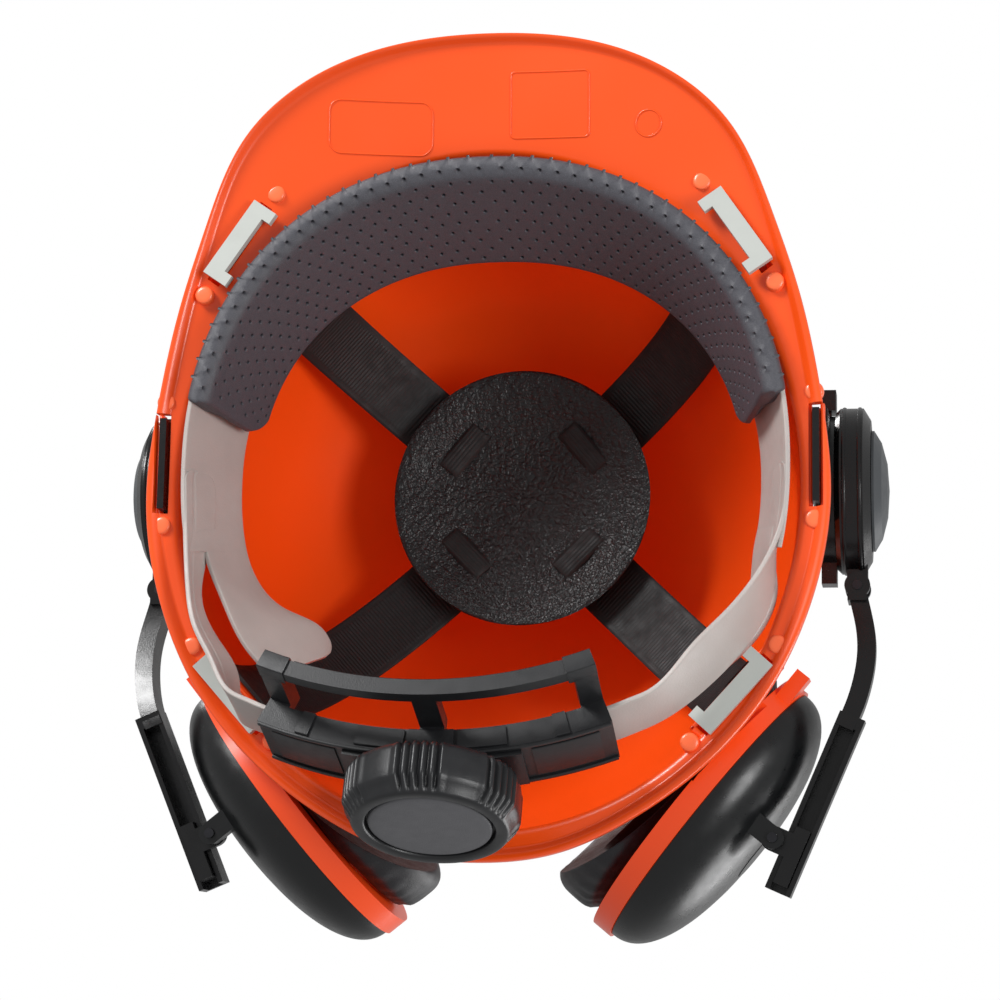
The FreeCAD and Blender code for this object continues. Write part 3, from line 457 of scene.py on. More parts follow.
def spun(name, profile, place, material, body, steps=72, wave=None):
    """A turned piece about local Z. profile is (radius, height) points; wave scales the radius by angle."""
    rings = []
    for radius, height in profile:
        for step in range(steps):
            angle = 2 * math.pi * step / steps
            reach = radius if wave is None else wave(radius, height, angle)
            rings.append(place @ Vector((reach * math.cos(angle), reach * math.sin(angle), height)))
    return add_mesh(name, [v[:] for v in rings], quads(len(profile), steps), material, body)


def tube(name, path, radius, material, body, sides=10, closed=False):
    """A round bead along a path."""
    path = np.asarray(path, float)
    if closed:
        run = unit(np.roll(path, -1, axis=0) - np.roll(path, 1, axis=0))
    else:
        run = unit(np.gradient(path, axis=0))
    up = np.tile((0.0, 0.0, 1.0), (len(path), 1))
    side = unit(np.cross(run, up))
    over = np.cross(side, run)
    angles = np.linspace(0, 2 * math.pi, sides, endpoint=False)
    rings = path[:, None] + radius * (side[:, None] * np.cos(angles)[:, None] + over[:, None] * np.sin(angles)[:, None])
    if closed:
        return add_mesh(name, rings.reshape(-1, 3), quads(len(path), sides, wrap_rows=True), material, body)
    return sweep(name, rings, material, body)


def mirrored(point):
    return (-point[0], *point[1:])


# ---------------------------------------------------------------- shell

DOME = (101.0, 110.0, 128.0)
DOME_POWER = 2.3
DOME_WALL = 2.5
DOME_CENTRE = np.array((0.0, 6.0))
HALF_FLANGE = 1.2
LIP_DROP = 2.2
RIM_HALF = [
    (0, 126, -1.5), (24, 123.3, -1.5), (47.5, 113, -1.5), (71, 96, -1.2), (91, 73, -1), (105, 43, -0.8),
    (110.8, 10, -0.8), (108.3, -20, -1), (101, -56, -2.5), (93, -80.5, -5), (79.5, -109.5, -9),
    (55.5, -130, -10), (28, -140, -8.5), (0, -142.5, -8),
]
FRONT_KEY = (82.3, -75.5, -34.5)
REAR_KEY = (80.8, 73.2, 42.0)
SIDE_SLOT = (106.2, -2.5, 0.0)
RIM_STATIONS = 480


def rim_points(count):
    """Evenly spaced points round the rim's outer edge."""
    loop = [np.array(p, float) for p in RIM_HALF] + [np.array(mirrored(p), float) for p in RIM_HALF[-2:0:-1]]
    wrapped = loop[-6:] + loop + loop[:7]
    dense = spline(wrapped, 8000)
    start = np.argmin(np.linalg.norm(dense[:3500] - loop[0], axis=1))
    end = 3500 + np.argmin(np.linalg.norm(dense[3500:] - loop[0], axis=1))
    dense = dense[start:end + 1]
    along = np.concatenate(([0], np.cumsum(np.linalg.norm(np.diff(dense, axis=0), axis=1))))
    stops = np.linspace(0, along[-1], count, endpoint=False)
    return np.stack([np.interp(stops, along, dense[:, axis]) for axis in range(3)], axis=1)


def reach_of(out, half_x, half_y):
    return 1 / np.hypot(out[:, 0] / half_x, out[:, 1] / half_y)


def make_shell():
    edge = rim_points(RIM_STATIONS)
    spoke = edge[:, :2] - DOME_CENTRE
    far = np.linalg.norm(spoke, axis=1)
    out = spoke / far[:, None]
    low = edge[:, 2]
    inside = reach_of(out, DOME[0], DOME[1])
    outside = reach_of(out, DOME[0] + DOME_WALL, DOME[1] + DOME_WALL)
    roll = 2.0 + 1.2 * ease((edge[:, 1] + 105) / 70)
    columns = []
    for step in range(61):
        angle = math.radians(88.6 * step / 60)
        columns.append((inside * math.sin(angle) ** (2 / DOME_POWER),
                        np.full_like(far, DOME[2] * math.cos(angle) ** (2 / DOME_POWER))))
    columns += [(inside + 0.1, np.full_like(far, 1.6)), (inside + 0.5, np.full_like(far, 0.1)),
                (inside + 1.3, np.full_like(far, -0.8)), (inside + 2.4, np.full_like(far, -1.2))]
    foot = inside + 2.4
    stop = far - roll - 1.6
    for share in (0.15, 0.3, 0.5, 0.7, 0.85, 0.95, 1.0):
        columns.append((foot + (stop - foot) * share, -HALF_FLANGE + low * (stop - foot) * share / (far - foot)))
    last = -HALF_FLANGE + low * (stop - foot) / (far - foot)
    bead = low - HALF_FLANGE - LIP_DROP
    columns += [
        (far - roll - 1.1, last - 0.15), (far - roll - 0.7, last - 0.6), (far - roll - 0.3, last - 1.0),
        (far - roll * 0.8, bead + 0.75), (far - roll * 0.6, bead + 0.35), (far - roll * 0.4, bead + 0.1),
        (far - roll * 0.25, bead), (far - roll * 0.12, bead + 0.12), (far - 0.15, bead + 0.5), (far, bead + 1.1),
        (far, low + 0.4), (far - 0.15, low + 0.9), (far - 0.6, low + 1.2),
    ]
    top = outside + 3.6
    for share in (0.03, 0.15, 0.4, 0.65, 0.85, 1.0):
        columns.append((far - 0.6 - (far - 0.6 - top) * share, HALF_FLANGE + low * (1 - share)))
    columns += [(outside + 2.2, np.full_like(far, 1.45)), (outside + 1.1, np.full_like(far, 2.2)),
                (outside + 0.4, np.full_like(far, 3.4)), (outside, np.full_like(far, 5.2))]
    first = math.acos((5.2 / (DOME[2] + DOME_WALL)) ** (DOME_POWER / 2))
    for step in range(1, 91):
        angle = first * (1 - step / 90)
        columns.append((outside * math.sin(angle) ** (2 / DOME_POWER),
                        np.full_like(far, (DOME[2] + DOME_WALL) * math.cos(angle) ** (2 / DOME_POWER))))
    outer_dome = len(columns) - 90
    points = np.array([np.column_stack((DOME_CENTRE + out * reach[:, None], height)) for reach, height in columns])
    crest = points[outer_dome:]
    weight = ease((18.5 - np.abs(crest[..., 0])) / 4) * ease((crest[..., 2] - 22) / 16)
    crest[..., 2] *= 1 + weight * 4 / (DOME[2] + DOME_WALL)
    crest[..., 1] += weight * np.sign(crest[..., 1] - 6) * ease(np.abs(crest[..., 1] - 6) / 60)
    shell = add_mesh("shell_skin", points.reshape(-1, 3), quads(len(points), RIM_STATIONS),
                     MATERIALS["shell"], None)
    cut_slots(shell)
    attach(shell, "root")
    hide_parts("shell")


def spot_matrix(spot, along=0.0, outward=0.0, height=0.0):
    """Local X points outward and Y along the flange, at a socket in it."""
    x, y, degrees = spot
    return (Matrix.Translation((x, y, height)) @ Matrix.Rotation(math.radians(degrees), 4, "Z")
            @ Matrix.Translation((outward, along, 0)))


def both_sides(spot):
    return [spot, (-spot[0], spot[1], 180 - spot[2])]


def cut_slots(shell):
    """Opens the sockets through the flange."""
    work = bmesh.new()
    for spot, size in ((FRONT_KEY, (4.4, 31, 50)), (REAR_KEY, (4.4, 31, 50)), (SIDE_SLOT, (4.6, 33, 40))):
        for place in both_sides(spot):
            made = bmesh.ops.create_cube(work, size=1)["verts"]
            bmesh.ops.scale(work, vec=size, verts=made)
            bmesh.ops.transform(work, matrix=spot_matrix(place), verts=made)
    bmesh.ops.scale(work, vec=(MM, MM, MM), verts=work.verts)
    mesh = bpy.data.meshes.new("slots")
    work.to_mesh(mesh)
    work.free()
    cutter = bpy.data.objects.new("slots", mesh)
    bpy.context.scene.collection.objects.link(cutter)
    modifier(shell, "BOOLEAN", operation="DIFFERENCE", solver="EXACT", object=cutter)
    apply_modifiers(shell)
    bpy.data.objects.remove(cutter)
    shell.data.set_sharp_from_angle(angle=math.radians(40))


def apply_modifiers(obj):
    graph = bpy.context.evaluated_depsgraph_get()
    mesh = bpy.data.meshes.new_from_object(obj.evaluated_get(graph))
    obj.modifiers.clear()
    obj.data = mesh


def make_sockets():
    """The towers over the key slots, and the moulded dots beside every slot."""
    paint = MATERIALS["shell"]
    for label, spot, drop in (("front", FRONT_KEY, 2.6), ("rear", REAR_KEY, 0)):
        for side, place in zip(("left", "right"), both_sides(spot)):
            for name, size, along, outward in (
                    ("outer", (1.6, 35, 16.4), 0, 3.0), ("inner", (1.6, 35, 16.4), 0, -3.0),
                    ("end_a", (7.6, 2.0, 16.4), 16.5, 0), ("end_b", (7.6, 2.0, 16.4), -16.5, 0),
                    ("roof", (7.6, 35, 1.2), 0, 0)):
                height = 16.4 if name == "roof" else 8.6
                rounded_box(f"socket_{label}_{side}_{name}", size, spot_matrix(place, along, outward, height), 0.5,
                            paint, "root", 2)
            for number, sign in enumerate((-1, 1)):
                moulded_dot(f"dot_{label}_{side}_{number}", spot_matrix(place, sign * 20.5, -0.5, -drop))
    for side, place in zip(("left", "right"), both_sides(SIDE_SLOT)):
        for number, sign in enumerate((-1, 1)):
            moulded_dot(f"dot_side_{side}_{number}", spot_matrix(place, sign * 20.5, -0.5))


def make_slot_liners():
    """The moulded ledge behind each adapter blade, which closes the slot from above."""
    for side, place in zip(("left", "right"), both_sides(SIDE_SLOT)):
        rounded_box(f"slot_ledge_{side}", (1.5, 34.5, 7.0), spot_matrix(place, 0, -2.1, 5.0), 0.4, MATERIALS["shell"],
                    "root", 2)
        rounded_box(f"slot_backing_{side}", (1.4, 34.5, 5.0), spot_matrix(place, 0, 2.0, 4.2), 0.4, MATERIALS["shell"],
                    "root", 2)


def moulded_dot(name, place):
    profile = [(0, -2.6), (1.6, -2.6), (2.5, -2.45), (2.9, -2.1), (3.0, -1.6), (3.1, 0.4), (0, 0.4)]
    spun(name, profile, place, MATERIALS["dot"], "root", 32)


def peak_height(x, y):
    """Height of the peak's lower face."""
    spoke = np.array((x, y)) - DOME_CENTRE
    out = (spoke / np.linalg.norm(spoke))[None]
    foot = float(reach_of(out, DOME[0], DOME[1])[0]) + 2.4
    edge = rim_points(RIM_STATIONS)
    spokes = edge[:, :2] - DOME_CENTRE
    nearest = np.argmax(unit(spokes) @ out[0])
    far = np.linalg.norm(spokes[nearest])
    return -HALF_FLANGE + edge[nearest, 2] * (np.linalg.norm(spoke) - foot) / (far - foot)


def make_marks():
    """Blank moulded frames under the peak."""
    for name, centre, size, corner, lean in (
            ("mark_wide", (-35.5, -113.5), (34, 17), 4, 0.04), ("mark_tall", (20.5, -119.5), (26, 21), 1.5, 0.02),
            ("mark_round", (53.0, -111.5), (8.4, 8.4), 4.19, 0.0)):
        outline = rounded_profile(size[0], size[1], corner, 6, 24)
        path = []
        for u, v in outline - np.array(size) / 2:
            x = centre[0] + u * math.cos(lean) - v * math.sin(lean)
            y = centre[1] + u * math.sin(lean) + v * math.cos(lean)
            path.append((x, y, peak_height(x, y)))
        tube(name, path, 0.32, MATERIALS["shell"], "root", 8, closed=True)


# ---------------------------------------------------------------- suspension

BAND_LOW = (98.5, 101.5, -7.0)
BAND_HIGH = (88.5, 79.5, 29.0)
BAND_POWER = 2.2
BAND_THICKNESS = 1.6
HANGER_LEFT = [
    ((94.0, 40.0, 3.0), (84.0, 40.0, 30.0)), ((86.0, 57.0, 4.0), (77.0, 56.0, 28.0)),
    ((72.5, 68.5, 5.0), (64.5, 65.0, 24.0)),
]
HANGER_RIGHT = [
    ((-86.0, 42.0, 1.0), (-73.0, 41.5, 31.0)), ((-77.5, 58.0, 1.0), (-61.0, 47.5, 37.0)),
    ((-69.5, 67.0, 4.0), (-56.0, 56.0, 36.0)),
]


def band_point(degrees, share, inward=0.0):
    """Points of the head band's cone, from its lower edge (0) to its upper edge (1)."""
    half_x = BAND_LOW[0] + (BAND_HIGH[0] - BAND_LOW[0]) * share - inward
    half_y = BAND_LOW[1] + (BAND_HIGH[1] - BAND_LOW[1]) * share - inward
    x, y = superellipse(half_x, half_y, degrees, BAND_POWER)
    return np.stack(np.broadcast_arrays(x, y, BAND_LOW[2] + (BAND_HIGH[2] - BAND_LOW[2]) * share), axis=-1)


def make_headband():
    degrees = np.linspace(-194, 14, 200)
    rings = strip_rings(band_point(degrees, 0.0), band_point(degrees, 1.0), BAND_THICKNESS)
    band = sweep("headband_strip", rings, MATERIALS["band"], "root")
    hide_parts("headband")
    for label, angles, points in (("left", (10, 14), HANGER_LEFT), ("right", (170, 166), HANGER_RIGHT)):
        stations = [(band_point(a, 0.3), band_point(a, 1.0)) for a in angles] + points
        low = spline([np.array(s[0]) for s in stations], 90)
        high = spline([np.array(s[1]) for s in stations], 90)
        low, high = round_end(low, high, 5.0)
        if label == "right":
            low, high = low[::-1], high[::-1]
        sweep(f"hanger_{label}", strip_rings(low, high, BAND_THICKNESS), MATERIALS["band"], "root")
        hanger_eyes(label, low, high)
    for label, degrees in (("left", -4.0), ("right", -176.0)):
        for number, share in enumerate((0.62, 0.72)):
            band_rib(f"band_rib_{label}_{number}", degrees, share)


def hanger_eyes(label, low, high):
    """Two peg holes in the end of a hanger: each a moulded ring round a black disc, painted shade standing in for the
    dark of the hole.
    """
    across, outward = strip_frame(low, high)
    index = 12 if label == "right" else -13
    for number, share in enumerate((0.38, 0.58)):
        centre = low[index] + (high[index] - low[index]) * share - outward[index] * 0.1
        axis = Vector(-outward[index])
        place = Matrix.Translation(centre) @ axis.to_track_quat("Z", "Y").to_matrix().to_4x4()
        spun(f"hanger_ring_{label}_{number}", [(1.5, 0.0), (1.6, 0.4), (2.1, 0.5), (2.5, 0.3), (2.6, -0.2)], place,
             MATERIALS["band"], "root", 28)
        # Painted shade: a black disc fills each hole.
        spun(f"hanger_hole_shade_{label}_{number}", [(0, 0.14), (1.0, 0.14), (1.55, 0.2), (1.6, 0.0)], place,
             MATERIALS["arm"], "root", 28)


def band_rib(name, degrees, share):
    centre = band_point(degrees, share)
    ahead = unit(band_point(degrees + 2, share) - band_point(degrees - 2, share))
    across = unit(band_point(degrees, 1.0) - band_point(degrees, 0.0))
    inward = np.cross(ahead, across)
    rotation = Matrix((ahead, across, inward)).transposed().to_4x4()
    rounded_box(name, (6.0, 1.6, 1.4), Matrix.Translation(centre) @ rotation, 0.55, MATERIALS["band"], "root")


def sweat_section():
    """The sweatband's section as (across, outward, holes allowed): a padded face that wraps the band's lower edge."""
    width = 37.4
    roll = [(3.0 * -math.sin(math.radians(a)) - 0.2, 3.9 + 4.0 * math.cos(math.radians(a))) for a in range(0, 181, 15)]
    face = [(across, -0.35 * math.sin(math.pi * across / width)) for across in np.linspace(0.5, width - 1.4, 24)]
    front = np.array([(7.0, 7.8), (4.0, 7.9), (1.5, 7.9)] + roll + face)
    along = np.concatenate(([0], np.cumsum(np.linalg.norm(np.diff(front, axis=0), axis=1))))
    cells = 13
    stops = np.linspace(0, along[-1], 2 * cells + 1)
    front = np.stack([np.interp(stops, along, front[:, axis]) for axis in range(2)], axis=1)
    back = np.array([(width - 0.4, 0.35), (width, 1.5), (width - 0.4, 2.9), (width - 1.5, 3.4), (width - 10, 3.4),
                     (width - 20, 3.4), (11.0, 3.5), (9.6, 4.4), (9.0, 6.4), (8.2, 7.6)])
    return front, back, cells


def make_sweatband():
    """A perforated leatherette band: every other cell of its grid holds a punched hole."""
    front, back, cells = sweat_section()
    section = np.concatenate((front, back))
    along_cells = 92
    rows = 2 * along_cells + 1
    share = np.linspace(0, 1, rows)
    columns = len(section)
    grid = np.zeros((rows, columns, 3))
    normals = np.zeros((rows, columns, 3))
    length = 272.0
    for column, (across, outward) in enumerate(section):
        near_top = min(max(0.0, across - 24.5), 12.9)
        inset = 13.0 - math.sqrt(169.0 - near_top ** 2)
        from_start = share * length
        from_end = length - from_start
        degrees = -169 + 158 * share + (inset * (1 - ease(from_start / 18)) - inset * (1 - ease(from_end / 18))) / 1.62
        low, high = band_point(degrees, 0.02, 7.3), band_point(degrees, 0.99, 7.3)
        direction = unit(high - low)
        side = unit(np.cross(band_point(degrees + 1, 0.5) - band_point(degrees - 1, 0.5), direction))
        level = unit(side * (1, 1, 0))
        grid[:, column] = low + direction * across + level * outward
        normals[:, column] = side
    vertices = list(grid.reshape(-1, 3))
    faces = []
    last_cell = 2 * cells
    for row in range(0, rows - 1, 2):
        for column in range(0, last_cell, 2):
            ring = [(row, column), (row, column + 1), (row, column + 2), (row + 1, column + 2), (row + 2, column + 2),
                    (row + 2, column + 1), (row + 2, column), (row + 1, column)]
            ring = [r * columns + c for r, c in ring]
            centre = (row + 1) * columns + column + 1
            whole = (row // 2 + column // 2) % 2 or row < 2 or row > rows - 4 or column < 4
            if whole:
                for corner in range(0, 8, 2):
                    faces.append((ring[corner], ring[corner + 1], centre, ring[corner - 1]))
            else:
                punch_hole(vertices, faces, ring, vertices[centre], normals[row + 1, column + 1])
        for column in list(range(last_cell, columns)):
            beside = (column + 1) % columns
            for step in (0, 1):
                faces.append(((row + step) * columns + column, (row + step) * columns + beside,
                              (row + step + 1) * columns + beside, (row + step + 1) * columns + column))
    close_band_end(vertices, faces, section, 0, columns, grid)
    close_band_end(vertices, faces, section, rows - 1, columns, grid)
    band = add_mesh("sweatband_pad", vertices, faces, MATERIALS["sweatband"], "root")
    modifier(band, "SUBSURF", levels=1, render_levels=1)
    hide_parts("sweatband")


def punch_hole(vertices, faces, ring, centre, normal):
    """A round hole in one cell: its rim, its wall and its floor."""
    corners = [np.array(vertices[index]) for index in ring]
    rims = []
    for reach, depth in ((0.72, 0.0), (0.60, 0.12), (0.52, 1.6)):
        start = len(vertices)
        for corner in corners:
            out = corner - centre
            out -= normal * np.dot(out, normal)
            out = out / np.linalg.norm(out)
            vertices.append(centre + out * reach + normal * depth)
        rims.append([start + k for k in range(8)])
    for outer, inner in zip([ring] + rims, rims):
        for k in range(8):
            faces.append((outer[k], outer[(k + 1) % 8], inner[(k + 1) % 8], inner[k]))
    faces.append(tuple(rims[-1]))


def close_band_end(vertices, faces, section, row, columns, grid):
    """Draws the padded section together at one end of the band."""
    inner = 1 if row == 0 else row - 1
    outward = grid[row] - grid[inner]
    middle = grid[row].copy()
    for column, (across, depth) in enumerate(section):
        goal = 3.9 if across < 8.5 else 1.7
        partner = np.argmin(np.abs(section[:, 0] - across) + (np.sign(section[:, 1] - goal) == np.sign(depth - goal)) * 99)
        middle[column] = (grid[row, column] + grid[row, partner]) / 2
    start = len(vertices)
    vertices.extend(middle + outward * 0.4)
    for column in range(columns):
        beside = (column + 1) % columns
        faces.append((row * columns + column, row * columns + beside, start + beside, start + column))


WEB_WIDTH = 24.0
WEB_THICKNESS = 1.2
WEB_TOP = 95.0
WEB_FOOT = 8.0
WEB_CENTRE = np.array((0.0, -5.0))
RIB_PITCH = 1.3


def web_end(x, y):
    reach = 0.955 / math.hypot(x / DOME[0], (y - DOME_CENTRE[1]) / DOME[1])
    return np.array((x * reach, DOME_CENTRE[1] + (y - DOME_CENTRE[1]) * reach))


def make_webbing():
    """Two crossing straps, woven with a rib across every millimetre or so and a plain selvedge."""
    front, rear = FRONT_KEY[:2], REAR_KEY[:2]
    for label, sign, lowered in (("left", 1, 0.0), ("right", -1, 1.6)):
        start = web_end(sign * front[0], front[1])
        end = web_end(-sign * rear[0], rear[1])
        across = unit(np.array((*(end - start), 0.0)))
        across = np.array((across[1], -across[0], 0.0))
        angle = np.radians(np.linspace(-90, 90, 400))
        share = np.sin(angle)
        legs = np.where(share[:, None] < 0, start, end)
        flat = WEB_CENTRE + (legs - WEB_CENTRE) * np.abs(share)[:, None]
        height = WEB_FOOT + (WEB_TOP - lowered - WEB_FOOT) * (1 - np.abs(share) ** 2.4) ** (1 / 2.4)
        path = np.column_stack((flat, height))
        along = np.concatenate(([0], np.cumsum(np.linalg.norm(np.diff(path, axis=0), axis=1))))
        count = int(along[-1] / RIB_PITCH) * 6
        stops = np.linspace(0, along[-1], count)
        path = np.stack([np.interp(stops, along, path[:, axis]) for axis in range(3)], axis=1)
        out = unit(np.cross(np.tile(across, (count, 1)), np.gradient(path, axis=0)))
        out = np.where(out[:, 2:].mean() < 0, -out, out)
        rib = 0.17 * (np.abs(np.sin(math.pi * stops / RIB_PITCH)) - 0.5)
        half = WEB_WIDTH / 2
        spots = [-half + 0.1, -half + 0.5, -half + 1.2, -half + 2.2, -half + 2.6, -half + 3.2, -half + 7]
        spots += [0.0] + [-s for s in reversed(spots)]
        rings = []
        for face, order in ((-1, spots), (1, spots[::-1])):
            for spot in order:
                edge = half - abs(spot)
                ribbed = float(ease((edge - 2.2) / 0.6)) if edge < 3.2 else 1.0
                plump = WEB_THICKNESS / 2 * (0.45 if edge < 0.3 else 0.85 if edge < 0.8 else 1.0)
                groove = -0.12 if 1.9 < edge < 2.4 else 0.0
                depth = WEB_THICKNESS / 2 + face * (plump + groove + rib * ribbed)
                rings.append(path + across * spot + out * depth[:, None])
        strap = sweep(f"webbing_{label}", np.array(rings).transpose(1, 0, 2), MATERIALS["webbing"], "root")
        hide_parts(f"strap_front_{label}")


PAD_RADIUS = 45.0
PAD_SPHERE = 127.6
PAD_FACE = 88.0


def pad_height(reach):
    return PAD_FACE - PAD_SPHERE + np.sqrt(PAD_SPHERE ** 2 - reach ** 2)


def pebble(x, y, size, seed):
    """Grain of embossed leather: 0 in the creases and 1 on the pebbles."""
    warp = noise.noise_vector(Vector((x / 9 + seed, y / 9, seed))) * 0.8
    distances = noise.voronoi(Vector((x / size + warp.x, y / size + warp.y, seed)))[0]
    return min(1.0, (distances[1] - distances[0]) * 2.6)


def make_crown_pad():
    rings, steps = 110, 420
    vertices = []
    for ring in range(rings + 1):
        share = ring / rings
        reach = PAD_RADIUS * share
        edge = PAD_RADIUS - reach
        puff = 0.9 * (1 - math.exp(-edge / 3.0))
        for step in range(steps):
            angle = 2 * math.pi * step / steps
            x, y = reach * math.cos(angle), reach * math.sin(angle)
            wobble = 0.5 * noise.noise(Vector((math.cos(angle) * 1.3, math.sin(angle) * 1.3, 4))) * share
            grain = 0.42 * pebble(x, y, 2.3, 3.0) * min(1.0, edge / 1.5)
            swell = 0.5 * noise.noise(Vector((x / 16, y / 16, 9)))
            dent = sum(0.9 * math.exp(-((math.hypot(x, y) - 30) / 6) ** 2 - (off / 8) ** 2) for off in
                       (min(abs(x * c - y * s), 99.0) for c, s in ((0.7, 0.72), (0.7, -0.72))))
            height = pad_height(reach) - puff - grain - swell + dent
            vertices.append((x * (1 + wobble / PAD_RADIUS), WEB_CENTRE[1] + y * (1 + wobble / PAD_RADIUS), height))
    for extra, lift in ((0.25, 0.9), (-0.1, 1.8), (-1.2, 2.3), (-20.0, 3.4)):
        for step in range(steps):
            angle = 2 * math.pi * step / steps
            reach = PAD_RADIUS + extra
            vertices.append((reach * math.cos(angle), WEB_CENTRE[1] + reach * math.sin(angle),
                             float(pad_height(min(reach, PAD_RADIUS))) + lift - 0.6))
    total = rings + 5
    faces = quads(total, steps)
    pad = add_mesh("crown_pad_leather", vertices, faces, MATERIALS["crown_pad"], "root")
    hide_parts("crown_pad")
    make_pad_loops()


def make_pad_loops():
    """Where each strap shows through a pair of slits in the pad."""
    for label, key in (("front_left", FRONT_KEY), ("front_right", mirrored(FRONT_KEY)),
                       ("rear_left", REAR_KEY), ("rear_right", mirrored(REAR_KEY))):
        out = unit(web_end(key[0], key[1]) - WEB_CENTRE)
        side = np.array((-out[1], out[0]))
        length, width = 8.5, 19.0
        count = 60
        rings = []
        for step in range(count):
            along = length * (step / (count - 1) - 0.5)
            rib = 0.16 * abs(math.sin(math.pi * along / RIB_PITCH))
            rise = 1.5 * (1 - (2 * along / length) ** 4)
            centre = WEB_CENTRE + out * (27.5 + along)
            base = float(pad_height(27.5 + along)) - 0.4
            ring = []
            for spot, drop in ((-width / 2, 0.6), (-width / 2 + 0.4, 1.0), (-width / 2 + 2, 1.0 + rib), (0, 1.05 + rib),
                               (width / 2 - 2, 1.0 + rib), (width / 2 - 0.4, 1.0), (width / 2, 0.6), (width / 2, -1.5),
                               (-width / 2, -1.5)):
                flat = centre + side * spot
                ring.append((flat[0], flat[1], base - drop * (rise / 1.5 if drop > 0 else 1) - (0.4 if drop > 0 else 0)))
            rings.append(ring)
        sweep(f"pad_loop_{label}", rings, MATERIALS["webbing"], "root")


# ---------------------------------------------------------------- ratchet

RATCHET = Matrix.Translation((-8.5, 95.5, -26.0)) @ Matrix.Rotation(math.radians(-23.0), 4, "X")
RATCHET_RADIUS = 140.0
NAPE_LEFT = [
    ((93.4, 28.0, -8.0), (95.2, 31.0, 1.5)), ((87.5, 39.5, -14.0), (92.0, 45.0, -1.0)),
    ((79.0, 51.0, -20.5), (84.5, 59.0, -4.5)), ((69.5, 62.0, -26.0), (73.5, 71.5, -8.0)),
]
NAPE_RIGHT = [
    ((-93.4, 27.0, -8.0), (-95.0, 30.5, 1.5)), ((-94.0, 40.0, -12.5), (-92.5, 44.0, -1.0)),
    ((-90.0, 53.0, -17.5), (-84.5, 58.0, -4.5)), ((-82.5, 65.0, -23.0), (-77.5, 69.5, -8.0)),
]


def on_arc(degrees, depth, height):
    """A point of the ratchet's arc. Angles run from the wearer's right to the left."""
    turn = math.radians(degrees)
    reach = RATCHET_RADIUS + depth
    return np.array(RATCHET @ Vector((reach * math.sin(turn), reach * math.cos(turn) - RATCHET_RADIUS, height)))


def make_nape_straps():
    mouth = 22.7
    for label, sign, points in (("left", 1, NAPE_LEFT), ("right", -1, NAPE_RIGHT)):
        stations = [(np.array(a), np.array(b)) for a, b in points]
        from_front = [-90 + sign * turn for turn in (90, 98)]
        stations[:1] = [(band_point(a, 0.0, 0.3), band_point(a, 0.5, 0.3)) for a in from_front]
        for degrees in (mouth + 5.5, mouth + 3.0, mouth + 0.6, mouth - 3):
            stations.append((on_arc(sign * degrees, -0.8, -10), on_arc(sign * degrees, -0.8, 10)))
        low = spline([s[0] for s in stations], 140)
        high = spline([s[1] for s in stations], 140)
        low, high = round_end(low, high, 4.0, at_start=True)
        if sign < 0:
            low, high = low[::-1], high[::-1]
        strap = sweep(f"nape_band_{label}", strip_rings(low, high, BAND_THICKNESS, 0.27), MATERIALS["band"], None)
        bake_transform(strap)
        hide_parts(f"nape_strap_{label}")


def arc_plate(name, depths, heights, angles):
    """A raised panel that follows the housing's arc."""
    profile = rounded_profile(heights[1] - heights[0], depths[1] - depths[0], 0.35, spans=2)
    rings = [[on_arc(degrees, depths[0] + depth, heights[0] + height) for height, depth in profile]
             for degrees in np.linspace(*angles, 40)]
    sweep(name, rings, MATERIALS["ratchet"], "root")


def make_housing_panels():
    """Raised borders and panels moulded on the ratchet housing, and the rounded ends of its cradle."""
    arc_plate("housing_border_low", (3.6, 4.9), (-11.5, -9.9), (-22.2, 22.2))
    arc_plate("housing_border_high", (3.6, 4.9), (9.9, 11.5), (-22.2, 22.2))
    for side, sign in (("left", 1), ("right", -1)):
        inner, outer = sorted((sign * 12.2, sign * 20.6))
        arc_plate(f"housing_panel_{side}", (3.6, 4.5), (-8.2, 8.2), (inner, outer))
        inner, outer = sorted((sign * 3.4, sign * 9.5))
        arc_plate(f"housing_shoulder_{side}", (-3.0, 3.4), (-12.5, -11.0), (inner, outer))
        inner, outer = sorted((sign * 15.5, sign * 17.2))
        arc_plate(f"housing_clip_{side}", (-3.9, 3.9), (-12.4, -11.0), (inner, outer))
        inner, outer = sorted((sign * 18.6, sign * 22.4))
        arc_plate(f"cradle_end_{side}", (-10.2, -4.2), (-32.6, -26.2), (inner, outer))
    arc_plate("housing_stem", (-3.2, 5.0), (-13.0, -11.0), (-2.9, 2.9))
    arc_plate("cradle_lip", (-10.1, -8.9), (-31.6, -30.2), (-18, 18))


def make_hub_bands():
    """Bright rolled bands round each hub."""
    profile = [(27.0, 0), (27.75, 0.25), (27.95, 0.8), (27.75, 1.35), (27.0, 1.6)]
    axis = Matrix.Rotation(math.radians(90), 4, "Y")
    for label, mirror in (("left", Matrix.Identity(4)), ("right", MIRROR)):
        for number, depth in enumerate((113.0, 118.0)):
            place = mirror @ Matrix.Translation((depth, 0.5, 47.5)) @ axis
            spun(f"hub_band_{label}_{number}", profile, place, MATERIALS["arm"], f"hub_{label}", 120)


def soften(width, segments, *names):
    """Rounds the edges of CAD nodes."""
    for name in names:
        modifier(frame["nodes"][name], "BEVEL", width=width * MM, segments=segments, limit_method="ANGLE",
                 angle_limit=math.radians(35), harden_normals=True)


